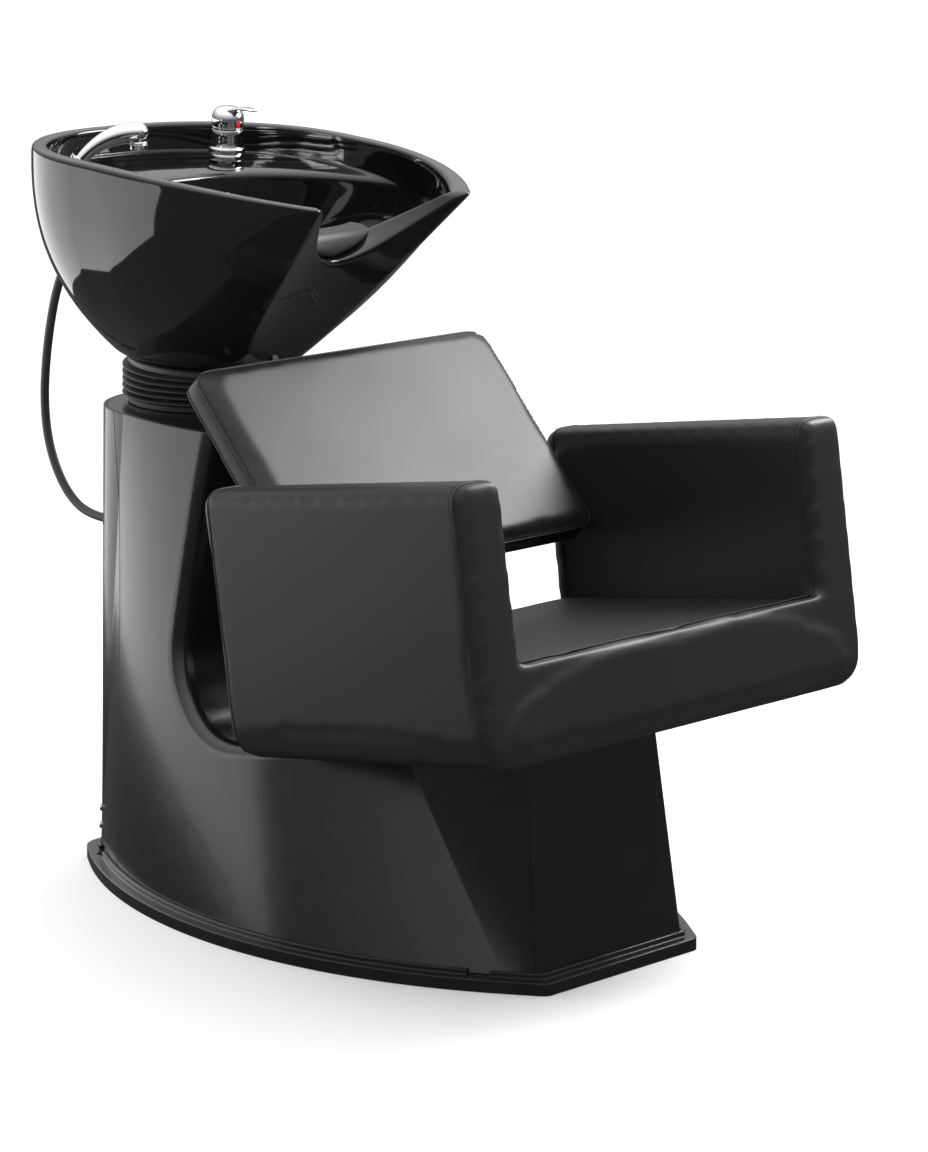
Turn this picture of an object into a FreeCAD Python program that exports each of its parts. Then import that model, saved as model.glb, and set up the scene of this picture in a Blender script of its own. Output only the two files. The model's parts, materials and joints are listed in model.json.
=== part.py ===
"""Salon backwash unit: a shampoo chair and a tilting basin on one moulded pedestal.

Millimetres. +Z is up, the chair faces -Y, the basin stands at +Y, and the origin lies on the
floor below the middle of the unit. The chair pieces are drawn level and leaned back about X,
the basin pieces are drawn about their tilt axis and turned to the basin's rest angle.
"""
import FreeCAD, Part
import math
import os
import Sketcher

V = FreeCAD.Vector
X_AXIS, Y_AXIS, Z_AXIS = V(1, 0, 0), V(0, 1, 0), V(0, 0, 1)

SIZES = {
    # Plinth
    "plinth_front": 432, "plinth_rear": 428, "plinth_half": 287,
    "plinth_front_half": 132, "plinth_rear_half": 150,
    "plinth_front_corner": 14, "plinth_rear_corner": 40,
    "flange_thick": 16, "flange_width": 15, "lip_width": 5, "lip_rise": 7,
    "fixing_half": 172, "fixing_front": 352, "fixing_rear": 369, "fixing_hole": 4.5,
    "service_half": 60, "service_front": 300, "service_rear": 400, "notch_wide": 15,
    # Pedestal shell
    "shell_wall": 4, "shell_gap": 0.5, "seam": 0.8,
    "column_top": 614, "column_front": 140, "column_foot": 162, "column_half": 152,
    "column_wide": 215, "column_rear": 455, "column_rear_half": 150, "column_round": 138,
    "panel_top_half": 88, "panel_top_front": 325, "panel_top_corner": 8, "panel_full": 700,
    "sweep_round": 110, "edge_round": 22, "rear_seam_foot": 290, "rear_seam_top": 351,
    "cap_hole": 102, "screw_shank": 2, "screw_head": 4.5, "screw_rise": 2.5, "screw_margin": 12,
    "cover_screw_low": 44, "cover_screw_step": 24,
    # Steel frame
    "sheet_thick": 6, "tube_side": 80, "tube_wall": 4, "post_front": 240, "beam_rise": 96,
    "head_thick": 8, "head_half": 76, "head_front": 124, "head_rear": 96, "foot_half": 112,
    "foot_front": 320, "frame_bolt": 4, "frame_bolt_half": 92, "thread_gap": 0.1,
    # Chair, drawn level
    "recline": 9, "chair_front": 579, "chair_back": 131, "arm_back": 112, "chair_half": 325,
    "arm_thick": 64, "seat_bottom": 243, "arm_top": 576, "seat_top": 364, "pad_thick": 28, "soft_gap": 0.4,
    "arm_round": 14, "arm_foot_round": 40, "seam_round": 3, "board_thick": 18,
    "board_inset": 60, "bolt_shank": 5, "bolt_spread": 54, "bolt_front": 330, "bolt_back": 200,
    "bolt_margin": 20, "bolt_head": 9, "bolt_head_rise": 6, "arm_bolt_front": 417,
    "arm_bolt_back": 256, "arm_bolt_rise": 40, "arm_bolt_reach": 38,
    # Back cushion, drawn upright
    "back_lean": 42.8, "back_foot_y": -153, "back_foot_z": 486.5, "back_gap": 7,
    "back_length": 324, "back_thick": 50, "back_corner": 24, "back_board_inset": 42,
    "back_board_thick": 10, "bracket_side": 40, "bracket_rise": 61.5,
    # Basin, drawn about its tilt axis
    "axis_y": 332, "axis_z": 645, "rest_tilt": 3.7,
    "rim_rise": 305, "rim_fall": 11.5, "rim_peak": 30, "base_rise": 28, "horn_half": 134,
    "horn_reach": 366, "horn_round": 26, "basin_corner": 24,
    "bowl_half": 235, "bowl_shoulder": 205, "bowl_rear": 230, "bowl_round": 212,
    "base_half": 111, "base_front": 105, "base_rear": 114, "base_round": 98,
    "bowl_wall": 14, "rim_wide": 17, "deck_drop": 41.5, "deck_thick": 14, "basin_rear": 62,
    "basin_half": 205, "basin_floor": 82, "floor_half": 90, "notch_drop": 117,
    "notch_half": 46, "notch_round": 48, "neck_half": 60, "neck_deep": 46, "neck_rise": 42,
    "neck_dish": 4, "neck_proud": 2,
    # Tilt hinge
    "pin_shank": 8, "running_gap": 0.05, "lug_thick": 8, "lug_inner": 44, "lug_half": 17,
    "washer_thick": 2, "bowl_plate_thick": 8, "bowl_plate_half": 100, "bowl_bolt": 4,
    "bowl_bolt_x": 62, "bowl_bolt_y": 54, "bowl_bolt_depth": 20, "foot_recess": 46,
    # Bellows
    "bellows_out": 117, "bellows_in": 107, "bellows_wall": 2.5, "bellows_ribs": 5,
    "clamp_wide": 6, "clamp_thick": 2,
    # Waste and supplies
    "waste_shank": 20, "waste_bore": 17, "drain_wide": 33, "strainer_wide": 24,
    "strainer_rise": 4, "strainer_rim": 3, "strainer_floor": 2, "knob_wide": 3, "knob_rise": 8,
    "strainer_hole": 2.6,
    "tail_drop": 42, "drain_sink": 3.9, "drain_lip": 0.5, "strainer_sink": 2.5,
    "spigot_rise": 40, "nut_wide": 29, "nut_rise": 10,
    "supply_shank": 5, "supply_bore": 3.5, "supply_near": 14, "supply_far": 38,
    "supply_back": 84, "supply_foot": 55, "supply_room": 6, "supply_clear": 100, "supply_drop": 60,
    "inlet_shank": 8.3, "inlet_rise": 24,
    "spigot_low": 3, "spigot_free": 12.5, "spigot_step": 0.5,
    # Mixer tap
    "mixer_x": 112, "mixer_y": 109, "mixer_shank": 15, "mixer_tail": 40, "mixer_foot": 24,
    "mixer_foot_rise": 9, "mixer_ring": 25, "mixer_ring_rise": 17, "mixer_body": 21,
    "mixer_rise": 41, "stem_shank": 7, "collar_wide": 20.5, "collar_thick": 2.7,
    "post_wide": 6, "lever_axis": 52, "lever_pin": 2.5, "lever_lift": 22, "dome_wide": 22,
    "dome_wall": 6, "dome_top": 70, "lever_reach": 53, "lever_wide": 18, "lever_tip": 12,
    "lever_thick": 8, "dot_wide": 4, "tail_half": 8,
    # Hand spray and its hose
    "spray_x": -118, "spray_y": 148, "spray_lean": 38, "spray_turn": 38, "spray_stem": 8.5,
    "stem_low": 35, "stem_high": 18, "spray_bend": 95, "spray_curl": 50, "spray_head": 14,
    "nozzle_wide": 12.5, "nozzle_near": 15, "nozzle_far": 23, "socket_wide": 15,
    "socket_shank": 11.3, "socket_rise": 16, "socket_low": 40, "socket_nut_wide": 13.5,
    "hose_half": 6, "hose_bore": 4, "union_wide": 12, "union_depth": 45, "union_taper": 9,
    "grommet_wide": 15, "grommet_shank": 8.7, "grommet_depth": 14,
}

doc = FreeCAD.newDocument("BackwashUnit")
sheet = doc.addObject("Spreadsheet::Sheet", "Sizes")
for row, (alias, number) in enumerate(SIZES.items(), start=1):
    sheet.set(f"A{row}", alias)
    sheet.set(f"B{row}", str(number))
    sheet.setAlias(f"B{row}", alias)
doc.recompute()


class Size(float):
    """A number that keeps the formula it came from, so that a property can be bound to it."""

    def __new__(cls, number, formula):
        self = super().__new__(cls, number)
        self.formula = formula
        return self

    def __add__(self, other):
        return Size(float(self) + float(other), f"({self.formula} + {formula_of(other)})")

    def __radd__(self, other):
        return Size(float(other) + float(self), f"({formula_of(other)} + {self.formula})")

    def __sub__(self, other):
        return Size(float(self) - float(other), f"({self.formula} - {formula_of(other)})")

    def __rsub__(self, other):
        return Size(float(other) - float(self), f"({formula_of(other)} - {self.formula})")

    def __mul__(self, other):
        return Size(float(self) * float(other), f"({self.formula} * {formula_of(other)})")

    def __rmul__(self, other):
        return Size(float(other) * float(self), f"({formula_of(other)} * {self.formula})")

    def __truediv__(self, other):
        return Size(float(self) / float(other), f"({self.formula} / {formula_of(other)})")

    def __neg__(self):
        return Size(-float(self), f"(0 - {self.formula})")


def formula_of(number):
    return getattr(number, "formula", f"({float(number)!r})")


class SheetSizes:
    """The sheet's cells as Size values: d.plinth_front and so on."""

    def __init__(self, names):
        for name in names:
            setattr(self, name, Size(float(sheet.get(name)), f"Sizes.{name}"))


d = SheetSizes(SIZES)
pieces = {}


# Bound features

def bind(item, name, number):
    if isinstance(number, Size):
        item.setExpression(name, number.formula)
    else:
        setattr(item, name, float(number))


def place(item, base, rotation=None):
    item.Placement = FreeCAD.Placement(V(*base), rotation or FreeCAD.Rotation())
    for letter, number in zip("xyz", base):
        if isinstance(number, Size):
            item.setExpression(f"Placement.Base.{letter}", number.formula)


def box(name, low, high):
    item = doc.addObject("Part::Box", name)
    for side, a, b in zip(("Length", "Width", "Height"), low, high):
        bind(item, side, b - a)
    place(item, low)
    return item


TURNS = {
    "Z": FreeCAD.Rotation(),
    "X": FreeCAD.Rotation(Y_AXIS, 90),
    "Y": FreeCAD.Rotation(X_AXIS, -90),
}


def rod(name, radius, length, base, along="Z"):
    item = doc.addObject("Part::Cylinder", name)
    bind(item, "Radius", radius)
    bind(item, "Height", length)
    place(item, base, TURNS[along])
    return item


def joined(name, items):
    item = doc.addObject("Part::MultiFuse", name)
    item.Shapes = list(items)
    return item


def minus(name, base, tools):
    item = doc.addObject("Part::Cut", name)
    item.Base = base
    item.Tool = tools[0] if len(tools) == 1 else joined(name + "_tools", tools)
    return item


def feature(name, shape):
    item = doc.addObject("Part::Feature", name)
    item.Shape = shape
    return item


def sketch_on(body, role, points):
    """A closed outline on one of the body's planes, each corner bound to its sizes."""
    plane = next(f for f in body.Origin.OriginFeatures if f.Role == role)
    sketch = body.newObject("Sketcher::SketchObject", body.Name + "_outline")
    sketch.AttachmentSupport = [(plane, "")]
    sketch.MapMode = "FlatFace"
    count = len(points)
    for i in range(count):
        a, b = points[i], points[(i + 1) % count]
        sketch.addGeometry(Part.LineSegment(V(a[0], a[1], 0), V(b[0], b[1], 0)), False)
    for i in range(count):
        sketch.addConstraint(Sketcher.Constraint("Coincident", i, 2, (i + 1) % count, 1))
    for i, point in enumerate(points):
        for number, kind, axis in ((point[0], "DistanceX", -2), (point[1], "DistanceY", -1)):
            if abs(number) < 1e-9:
                sketch.addConstraint(Sketcher.Constraint("PointOnObject", i, 1, axis))
                continue
            index = sketch.addConstraint(Sketcher.Constraint(kind, -1, 1, i, 1, float(number)))
            if isinstance(number, Size):
                sketch.setExpression(f"Constraints[{index}]", number.formula)
    return sketch


def turned(name, profile):
    """A piece of revolution about its own Z, from (radius, height) corners."""
    body = doc.addObject("PartDesign::Body", name)
    turn = body.newObject("PartDesign::Revolution", name + "_turn")
    turn.Profile = sketch_on(body, "XZ_Plane", profile)
    turn.ReferenceAxis = (turn.Profile[0], ["V_Axis"])
    turn.Angle = 360
    body.Tip = turn
    return body


def plate(name, corners, thick):
    """A flat piece on its own XY plane, thick upwards."""
    body = doc.addObject("PartDesign::Body", name)
    pad = body.newObject("PartDesign::Pad", name + "_pad")
    pad.Profile = sketch_on(body, "XY_Plane", corners)
    bind(pad, "Length", thick)
    body.Tip = pad
    return body


def rectangle(x0, x1, y0, y1):
    return [(x0, y0), (x1, y0), (x1, y1), (x0, y1)]


def ring(inner, outer, low, high):
    return [(inner, low), (outer, low), (outer, high), (inner, high)]


def moved(item, placement):
    """Sets an item in a frame; one whose own place is bound goes into a holder first."""
    if any(path.startswith(".Placement") or path.startswith("Placement")
           for path, formula in item.ExpressionEngine):
        holder = doc.addObject("Part::Compound", item.Name + "_set")
        holder.Links = [item]
        item = holder
    item.Placement = placement.multiply(item.Placement)
    return item


def keep(label, item, placement=None):
    """Names a finished piece, and sets it in its frame."""
    if placement is not None:
        item = moved(item, placement)
    item.Label = label
    pieces[label] = item
    return item


# Frames of the leaned and tilted groups

CHAIR = FreeCAD.Placement(V(0, 0, 0), FreeCAD.Rotation(X_AXIS, -d.recline))
BACK = FreeCAD.Placement(
    V(0, d.back_foot_y, d.back_foot_z), FreeCAD.Rotation(X_AXIS, -d.back_lean)
)
BOWL = FreeCAD.Placement(V(0, d.axis_y, d.axis_z), FreeCAD.Rotation(X_AXIS, d.rest_tilt))


# Outlines of straight runs and tangent arcs

def rounded(corners, lift=0.0):
    """A closed wire at height lift through (x, y, radius) corners."""
    count = len(corners)
    arcs = []
    for i, (x, y, radius) in enumerate(corners):
        before, after = corners[i - 1], corners[(i + 1) % count]
        corner = V(x, y, lift)
        back = (V(before[0], before[1], lift) - corner).normalize()
        ahead = (V(after[0], after[1], lift) - corner).normalize()
        half = back.getAngle(ahead) / 2
        inward = (back + ahead).normalize()
        centre = corner + inward * (radius / math.sin(half))
        reach = radius / math.tan(half)
        arcs.append((corner + back * reach, centre - inward * radius, corner + ahead * reach))
    edges = []
    for i, (start, middle, end) in enumerate(arcs):
        edges.append(Part.Arc(start, middle, end).toShape())
        edges.append(Part.LineSegment(end, arcs[(i + 1) % count][0]).toShape())
    return Part.Wire(edges)


ARC_SHARE = 0.96


def hexagon(front, side, rear, lift):
    """A mirrored six-corner outline; its side corners take the largest arc that fits."""
    f, s, r = V(*front[:2]), V(*side[:2]), V(*rear[:2])

    def reach(corner, a, b, radius):
        return radius / math.tan((a - corner).getAngle(b - corner) / 2)

    room = min(
        (f - s).Length - reach(f, V(-f.x, f.y), s, front[2]),
        (r - s).Length - reach(r, V(-r.x, r.y), s, rear[2]),
    )
    radius = ARC_SHARE * room * math.tan((f - s).getAngle(r - s) / 2)
    half = [front, (s.x, s.y, radius), rear]
    return rounded(half + [(-x, y, c) for x, y, c in reversed(half)], lift)


def bulged(front, rear, half, middle, lift):
    """A hexagon whose side arcs, about Y = middle, swell to the given half width."""
    side = half
    for step in range(12):
        wire = hexagon(front, (side, middle), rear, lift)
        side += half - wire.BoundBox.XMax
    return hexagon(front, (side, middle), rear, lift)


def prism(wire, run):
    return Part.Face(wire).extrude(run)


def loft(wires, ruled=False):
    return Part.makeLoft(wires, True, ruled)


def tube_path(points, share=0.45):
    """Straight runs joined by tangent arcs as large as the runs allow; prints the radii."""
    points = [V(*p) for p in points]
    edges, radii, start = [], [], points[0]
    for a, b, c in zip(points, points[1:], points[2:]):
        back, ahead = (a - b).normalize(), (c - b).normalize()
        half = back.getAngle(ahead) / 2
        reach = share * min((a - b).Length, (c - b).Length)
        radius = reach * math.tan(half)
        inward = (back + ahead).normalize()
        middle = b + inward * (radius / math.sin(half) - radius)
        first, last = b + back * reach, b + ahead * reach
        edges.append(Part.LineSegment(start, first).toShape())
        edges.append(Part.Arc(first, middle, last).toShape())
        start = last
        radii.append(round(radius, 1))
    edges.append(Part.LineSegment(start, points[-1]).toShape())
    return Part.Wire(edges), radii


def tube(path, outer, inner):
    """A tube along a path, with its bore."""
    start = path.OrderedVertexes[0].Point
    first = path.OrderedEdges[0]
    heading = first.tangentAt(first.FirstParameter)
    solids = []
    for radius in (outer, inner):
        section = Part.Wire(Part.makeCircle(radius, start, heading))
        solids.append(path.makePipeShell([section], True, False))
    return solids[0].cut(solids[1])


def pillow(wire_at, steps):
    """A padded block: outlines with their (height, inset) steps, lofted along Z."""
    return loft([wire_at(inset, lift) for lift, inset in steps], ruled=True)


# Plinth and pedestal shell

def plinth_wire(inset, lift):
    slant = 0.4 * inset
    return bulged(
        (d.plinth_front_half - slant, inset - d.plinth_front, d.plinth_front_corner - slant),
        (d.plinth_rear_half - slant, d.plinth_rear - inset, d.plinth_rear_corner - slant),
        d.plinth_half - inset,
        (d.plinth_rear - d.plinth_front) / 2,
        lift,
    )


FIXINGS = [
    (side * d.fixing_half, y) for side in (1, -1) for y in (-d.fixing_front, d.fixing_rear)
]


def base_plinth():
    top = d.flange_thick + d.lip_rise
    slab = prism(plinth_wire(0, 0), V(0, 0, d.flange_thick))
    lip = prism(plinth_wire(d.flange_width, d.flange_thick), V(0, 0, d.lip_rise))
    lip = lip.cut(prism(plinth_wire(d.flange_width + d.lip_width, 0), V(0, 0, top + 1)))
    shape = slab.fuse(lip)
    cuts = [Part.makeBox(
        2 * d.service_half, d.service_rear - d.service_front, top + 2,
        V(-d.service_half, d.service_front, -1),
    )]
    for x, y in FIXINGS:
        cuts.append(Part.makeCylinder(d.fixing_hole, top + 2, V(x, y, -1)))
        cuts.append(Part.makeCylinder(d.notch_wide, top, V(x, y, d.flange_thick)))
    for x, y in frame_bolt_places():
        cuts.append(Part.makeCylinder(d.frame_bolt + d.thread_gap, top + 2, V(x, y, -1)))
    return feature("plinth_shape", shape.cut(Part.makeCompound(cuts)).removeSplitter())


def frame_bolt_places():
    ends = (d.bolt_margin - d.foot_front, 0.0, d.service_front - d.bolt_margin)
    return [(side * d.frame_bolt_half, y) for side in (1, -1) for y in ends]


def deck_point(along, drop):
    """A point of the chair's underside, along the seat and drop below it, in Y and Z."""
    p = CHAIR.multVec(V(0, -along, d.seat_bottom - drop))
    return p.y, p.z


def pedestal_block(inset, low):
    shell = d.flange_width + d.lip_width + d.shell_gap + inset
    base = plinth_wire(shell, low)
    top = bulged(
        (d.panel_top_half - inset, inset - d.panel_top_front, d.panel_top_corner),
        (d.column_rear_half - inset, d.column_rear - inset, d.column_round - inset),
        d.column_half - inset,
        d.column_wide,
        d.panel_full,
    )
    return loft([base, top], ruled=True)


def pedestal_profile(inset, roof):
    """The side view's silhouette below the chair and in front of the column, as a prism."""
    wide = 2 * d.plinth_half
    far = d.plinth_front + d.plinth_rear
    foot_y = d.column_foot + inset
    along = (d.seat_bottom * math.sin(math.radians(d.recline)) - foot_y) / math.cos(
        math.radians(d.recline)
    )
    corners = [
        deck_point(far, d.shell_gap + inset),
        deck_point(along, d.shell_gap + inset),
        (d.column_front + inset, roof),
        (far, roof),
        (far, -far),
        (-far, -far),
    ]
    points = [V(-wide / 2, y, z) for y, z in corners]
    body = prism(Part.makePolygon(points + points[:1]), V(wide, 0, 0))
    inner_corner = [
        e for e in body.Edges
        if e.BoundBox.XLength > wide / 2 and (e.CenterOfMass - V(0, *corners[1])).Length < 1
    ]
    return body.makeFillet(d.sweep_round + inset, inner_corner)


def pedestal_body(inset, low, roof):
    body = pedestal_block(inset, low).common(pedestal_profile(inset, roof))
    edges = []
    for e in body.Edges:
        m = e.valueAt((e.FirstParameter + e.LastParameter) / 2)
        sideways = abs(m.x) > d.column_half / 3
        runs = e.BoundBox.ZLength > d.edge_round / 2 or e.BoundBox.YLength > d.edge_round
        ahead = m.y < d.column_foot + inset + d.shell_wall / 2
        below = e.BoundBox.ZMax < roof + 1 and m.z > deck_point(0, 0)[1] - d.edge_round
        if sideways and runs and ahead and below:
            edges.append(e)
    return body.makeFillet(d.edge_round - inset, edges)


def leaning_wall(y_foot, y_top, thick):
    """A slab across the unit whose front face leans from y_foot at the floor to y_top."""
    wide, high = d.plinth_half, d.column_top
    corners = [(y_foot, 0), (y_top, high), (y_top + thick, high), (y_foot + thick, 0)]
    points = [V(-wide, y, z) for y, z in corners]
    return prism(Part.makePolygon(points + points[:1]), V(2 * wide, 0, 0))


def pedestal_shells():
    wall = d.shell_wall
    body = pedestal_body(0, d.flange_thick + d.soft_gap, d.column_top)
    shell = body.cut(pedestal_body(wall, 0, d.column_top + wall))
    side = d.bracket_side / 2 + 1
    shell = shell.cut(Part.makeBox(
        2 * side, d.axis_y, 2 * side, V(-side, 0, bracket_height() - side)
    ))
    for x, y in bolt_places():
        hole = Part.makeCylinder(
            d.bolt_shank + d.shell_gap, 2 * d.edge_round, V(x, y, d.seat_bottom - d.edge_round)
        )
        hole.Placement = CHAIR.multiply(hole.Placement)
        shell = shell.cut(hole)
    end = V(*HOSE_POINTS[-1])
    shell = shell.cut(Part.makeCylinder(
        d.grommet_shank + d.soft_gap, 2 * d.column_rear, V(end.x, d.axis_y, end.z), Y_AXIS
    ))

    far = d.plinth_front + d.plinth_rear
    shell_front = d.flange_width + d.lip_width + d.shell_gap - d.plinth_front
    slope = (-d.panel_top_front - shell_front) / (d.panel_full - d.flange_thick)
    front_foot = shell_front - slope * d.flange_thick + wall + d.seam
    front_top = front_foot + slope * d.column_top
    seam = d.seam
    front = leaning_wall(front_foot - far, front_top - far, far)
    rear = leaning_wall(d.rear_seam_foot, d.rear_seam_top, far)
    front_panel = shell.common(front)
    rear_cover = shell.common(rear)
    middle = shell.cut(leaning_wall(front_foot + seam - far, front_top + seam - far, far))
    middle = middle.cut(leaning_wall(d.rear_seam_foot - seam, d.rear_seam_top - seam, far))
    halves = []
    for low in (-far, seam / 2):
        halves.append(middle.common(Part.makeBox(far - seam / 2, 2 * far, far, V(low, -far, 0))))
    keep("side_shell_left", feature("left_shell", halves[0]))
    keep("side_shell_right", feature("right_shell", halves[1]))
    keep("front_panel", feature("front_shell", front_panel))
    rear_cover = cover_screws(rear_cover)
    grommet(rear_cover)
    keep("rear_cover", feature("rear_shell", rear_cover))
    cap_floor = d.column_top - wall
    cap = pedestal_body(wall + seam, 0, d.column_top).common(
        Part.makeBox(2 * far, 2 * far, 2 * wall, V(-far, -far, cap_floor)))
    cap = cap.cut(Part.makeCylinder(d.cap_hole, far, V(0, d.axis_y, 0)))
    for x, y in CAP_SCREWS:
        cap = cap.cut(Part.makeCylinder(d.screw_shank + d.thread_gap, far, V(x, y, 0)))
    keep("column_cap", feature("cap_lid", cap))


CAP_SCREWS = [
    (side * (d.head_half - d.screw_margin), d.axis_y - d.head_front + d.screw_margin)
    for side in (1, -1)
]


def surface_point(shape, start, heading, reach):
    """Where a ray from inside a piece last leaves it."""
    inside = shape.common(Part.makeLine(start, start + heading * reach))
    return max((v.Point for v in inside.Vertexes), key=lambda p: (p - start).dot(heading))


def surface_normal(shape, point):
    """The outward normal of the face that holds a point of the surface."""
    face = min(shape.Faces, key=lambda f: f.distToShape(Part.Vertex(point))[0])
    return face.normalAt(*face.Surface.parameter(point))


def cover_screws(cover):
    """Two screws at each rear corner of the cover, near its foot; returns the drilled cover."""
    screws = []
    for side in (1, -1):
        for step in (0, 1):
            rise = d.cover_screw_low + step * d.cover_screw_step
            start = V(side * d.plinth_rear_half / 2, d.axis_y, rise)
            seat = surface_point(cover, start, V(side, 1, 0).normalize(), d.plinth_half)
            heading = surface_normal(cover, seat)
            foot = seat - heading * (2 * d.shell_wall)
            run = 2 * d.shell_wall + d.thread_gap
            hole = Part.makeCylinder(d.screw_shank + d.thread_gap, 2 * run, foot, heading)
            cover = cover.cut(hole)
            head = seat + heading * d.thread_gap
            screws.append(Part.makeCylinder(d.screw_shank, run, foot, heading).fuse(
                Part.makeCylinder(d.screw_head, d.screw_rise, head, heading)))
    keep("cover_screws", feature("cover_screw_set", Part.makeCompound(screws)))
    return cover


def grommet(cover):
    """A rubber collar in the rear cover, where the hose goes in."""
    end = V(*HOSE_POINTS[-1])
    sides = [end.x + side * d.grommet_wide for side in (-1, 0, 1)]
    proud = max(surface_point(cover, V(x, d.axis_y, end.z + d.grommet_wide), Y_AXIS,
                              d.column_rear).y for x in sides)
    seat = proud + d.soft_gap - end.y
    body = turned("grommet_rubber", [
        (d.hose_bore, seat - d.grommet_depth), (d.grommet_shank, seat - d.grommet_depth),
        (d.grommet_shank, seat), (d.grommet_wide, seat), (d.grommet_wide, seat / 2),
        (d.hose_half + 2, 0), (d.hose_bore, 0),
    ])
    body.Placement = FreeCAD.Placement(end, TURNS["Y"])
    keep("hose_grommet", body)


# Steel frame

def steel_frame():
    floor = d.flange_thick
    top = floor + d.sheet_thick
    half = d.tube_side / 2
    inner = half - d.tube_wall
    foot = box("foot_sheet", (-d.foot_half, -d.foot_front, floor),
               (d.foot_half, d.service_rear, top))
    holes = [rod("foot_waste", d.waste_shank + d.thread_gap, top, (0, d.axis_y, floor / 2))]
    for i, x in enumerate((d.supply_near, d.supply_far)):
        holes.append(rod(f"foot_inlet_{i}", d.inlet_shank + d.thread_gap, top,
                         (x, d.axis_y + d.supply_foot, floor / 2)))
    for i, (x, y) in enumerate(frame_bolt_places()):
        holes.append(rod(f"foot_bolt_{i}", d.frame_bolt + d.thread_gap, top, (x, y, floor / 2)))
    keep("foot_plate", minus("foot", foot, holes))
    bolts = []
    for x, y in frame_bolt_places():
        shank = Part.makeCylinder(d.frame_bolt, top - d.lip_width, V(x, y, d.lip_width))
        bolts.append(shank.fuse(hex_head(x, y, top, 1.8 * d.frame_bolt, d.frame_bolt)))
    keep("frame_bolts", feature("frame_bolt_set", Part.makeCompound(bolts)))

    def square_tube(name, y, length):
        body = plate(name, rectangle(-half, half, -half, half), length)
        hole = body.newObject("PartDesign::Pocket", name + "_bore")
        hole.Profile = sketch_on(body, "XY_Plane", rectangle(-inner, inner, -inner, inner))
        hole.Type = 1
        hole.Reversed = True
        body.Tip = hole
        place(body, (0, y, top))
        return body

    keep("rear_post", square_tube("rear_tube", d.axis_y, d.column_top - d.shell_wall
                                  - d.soft_gap - d.head_thick - top))
    front_top = deck_point(d.post_front, d.shell_gap + d.shell_wall + d.soft_gap)[1]
    post = square_tube("front_tube", -d.post_front, front_top + half - top)
    lid = d.shell_gap + d.shell_wall + d.soft_gap + d.sheet_thick
    lid_box = box("front_lid", (-2 * half, -d.chair_front, d.seat_bottom - lid),
                  (2 * half, 0, d.seat_bottom + d.tube_side))
    keep("front_post", minus("front_tube_cut", post, [moved(lid_box, CHAIR)]))
    beam_low = top + d.beam_rise
    beam = box("beam_outer", (-half / 2, half - d.post_front, beam_low),
               (half / 2, d.axis_y - half, beam_low + half))
    bore = box("beam_bore", (d.tube_wall - half / 2, half - d.post_front, beam_low + d.tube_wall),
               (half / 2 - d.tube_wall, d.axis_y - half, beam_low + half - d.tube_wall))
    keep("frame_beam", minus("beam", beam, [bore]))
    margin = d.bolt_margin
    seat = box("seat_sheet", (-d.bolt_spread - margin, -d.bolt_front - margin, d.seat_bottom - lid),
               (d.bolt_spread + margin, margin - d.bolt_back, d.seat_bottom - lid + d.sheet_thick))
    holes = [rod(f"seat_hole_{i}", d.bolt_shank + d.thread_gap, 4 * lid, (x, y, d.seat_bottom - 2 * lid))
             for i, (x, y) in enumerate(bolt_places())]
    keep("seat_plate", minus("seat_steel", seat, holes), CHAIR)


def hex_head(x, y, low, wide, rise):
    corners = [V(x + wide * math.cos(k * math.pi / 3), y + wide * math.sin(k * math.pi / 3), low)
               for k in range(7)]
    return prism(Part.makePolygon(corners), V(0, 0, rise))


def bolt_places():
    return [(s * d.bolt_spread, y) for s in (1, -1) for y in (-d.bolt_front, -d.bolt_back)]


def head_plate():
    under = d.column_top - d.shell_wall - d.soft_gap - d.head_thick
    sheet_box = box("head_sheet", (-d.head_half, d.axis_y - d.head_front, under),
                    (d.head_half, d.axis_y + d.head_rear, under + d.head_thick))
    low, run = under - d.head_thick, 3 * d.head_thick
    cuts = [rod("head_waste", d.waste_shank + d.supply_room, run, (0, d.axis_y, low))]
    for i, x in enumerate((d.supply_near, d.supply_far)):
        cuts.append(rod(f"head_supply_{i}", d.supply_shank + d.supply_room / 2, run,
                        (x, d.axis_y + d.supply_back, low)))
    for i, (x, y) in enumerate(CAP_SCREWS):
        cuts.append(rod(f"head_tap_{i}", d.screw_shank + d.thread_gap, run, (x, y, low)))
    keep("head_plate", minus("head_steel", sheet_box, cuts))
    screws = []
    for x, y in CAP_SCREWS:
        top = d.column_top + d.thread_gap
        shank = Part.makeCylinder(d.screw_shank, top - under, V(x, y, under))
        head = Part.makeCylinder(d.screw_head, d.screw_rise, V(x, y, top))
        screws.append(shank.fuse(head))
    keep("cap_screws", feature("cap_screw_set", Part.makeCompound(screws)))


def chair_bolts():
    bolts = []
    under = d.seat_bottom - d.shell_gap - d.shell_wall - d.soft_gap - d.sheet_thick
    for x, y in bolt_places():
        head = hex_head(x, y, under - d.bolt_head_rise, d.bolt_head, d.bolt_head_rise)
        run = d.seat_bottom + d.board_thick - under
        shank = Part.makeCylinder(d.bolt_shank, run, V(x, y, under))
        bolts.append(head.fuse(shank))
    keep("seat_bolts", feature("seat_bolt_set", Part.makeCompound(bolts)), CHAIR)


# Chair

FRONTWARD = FreeCAD.Rotation(X_AXIS, Z_AXIS, -Y_AXIS, "XYZ")


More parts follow.
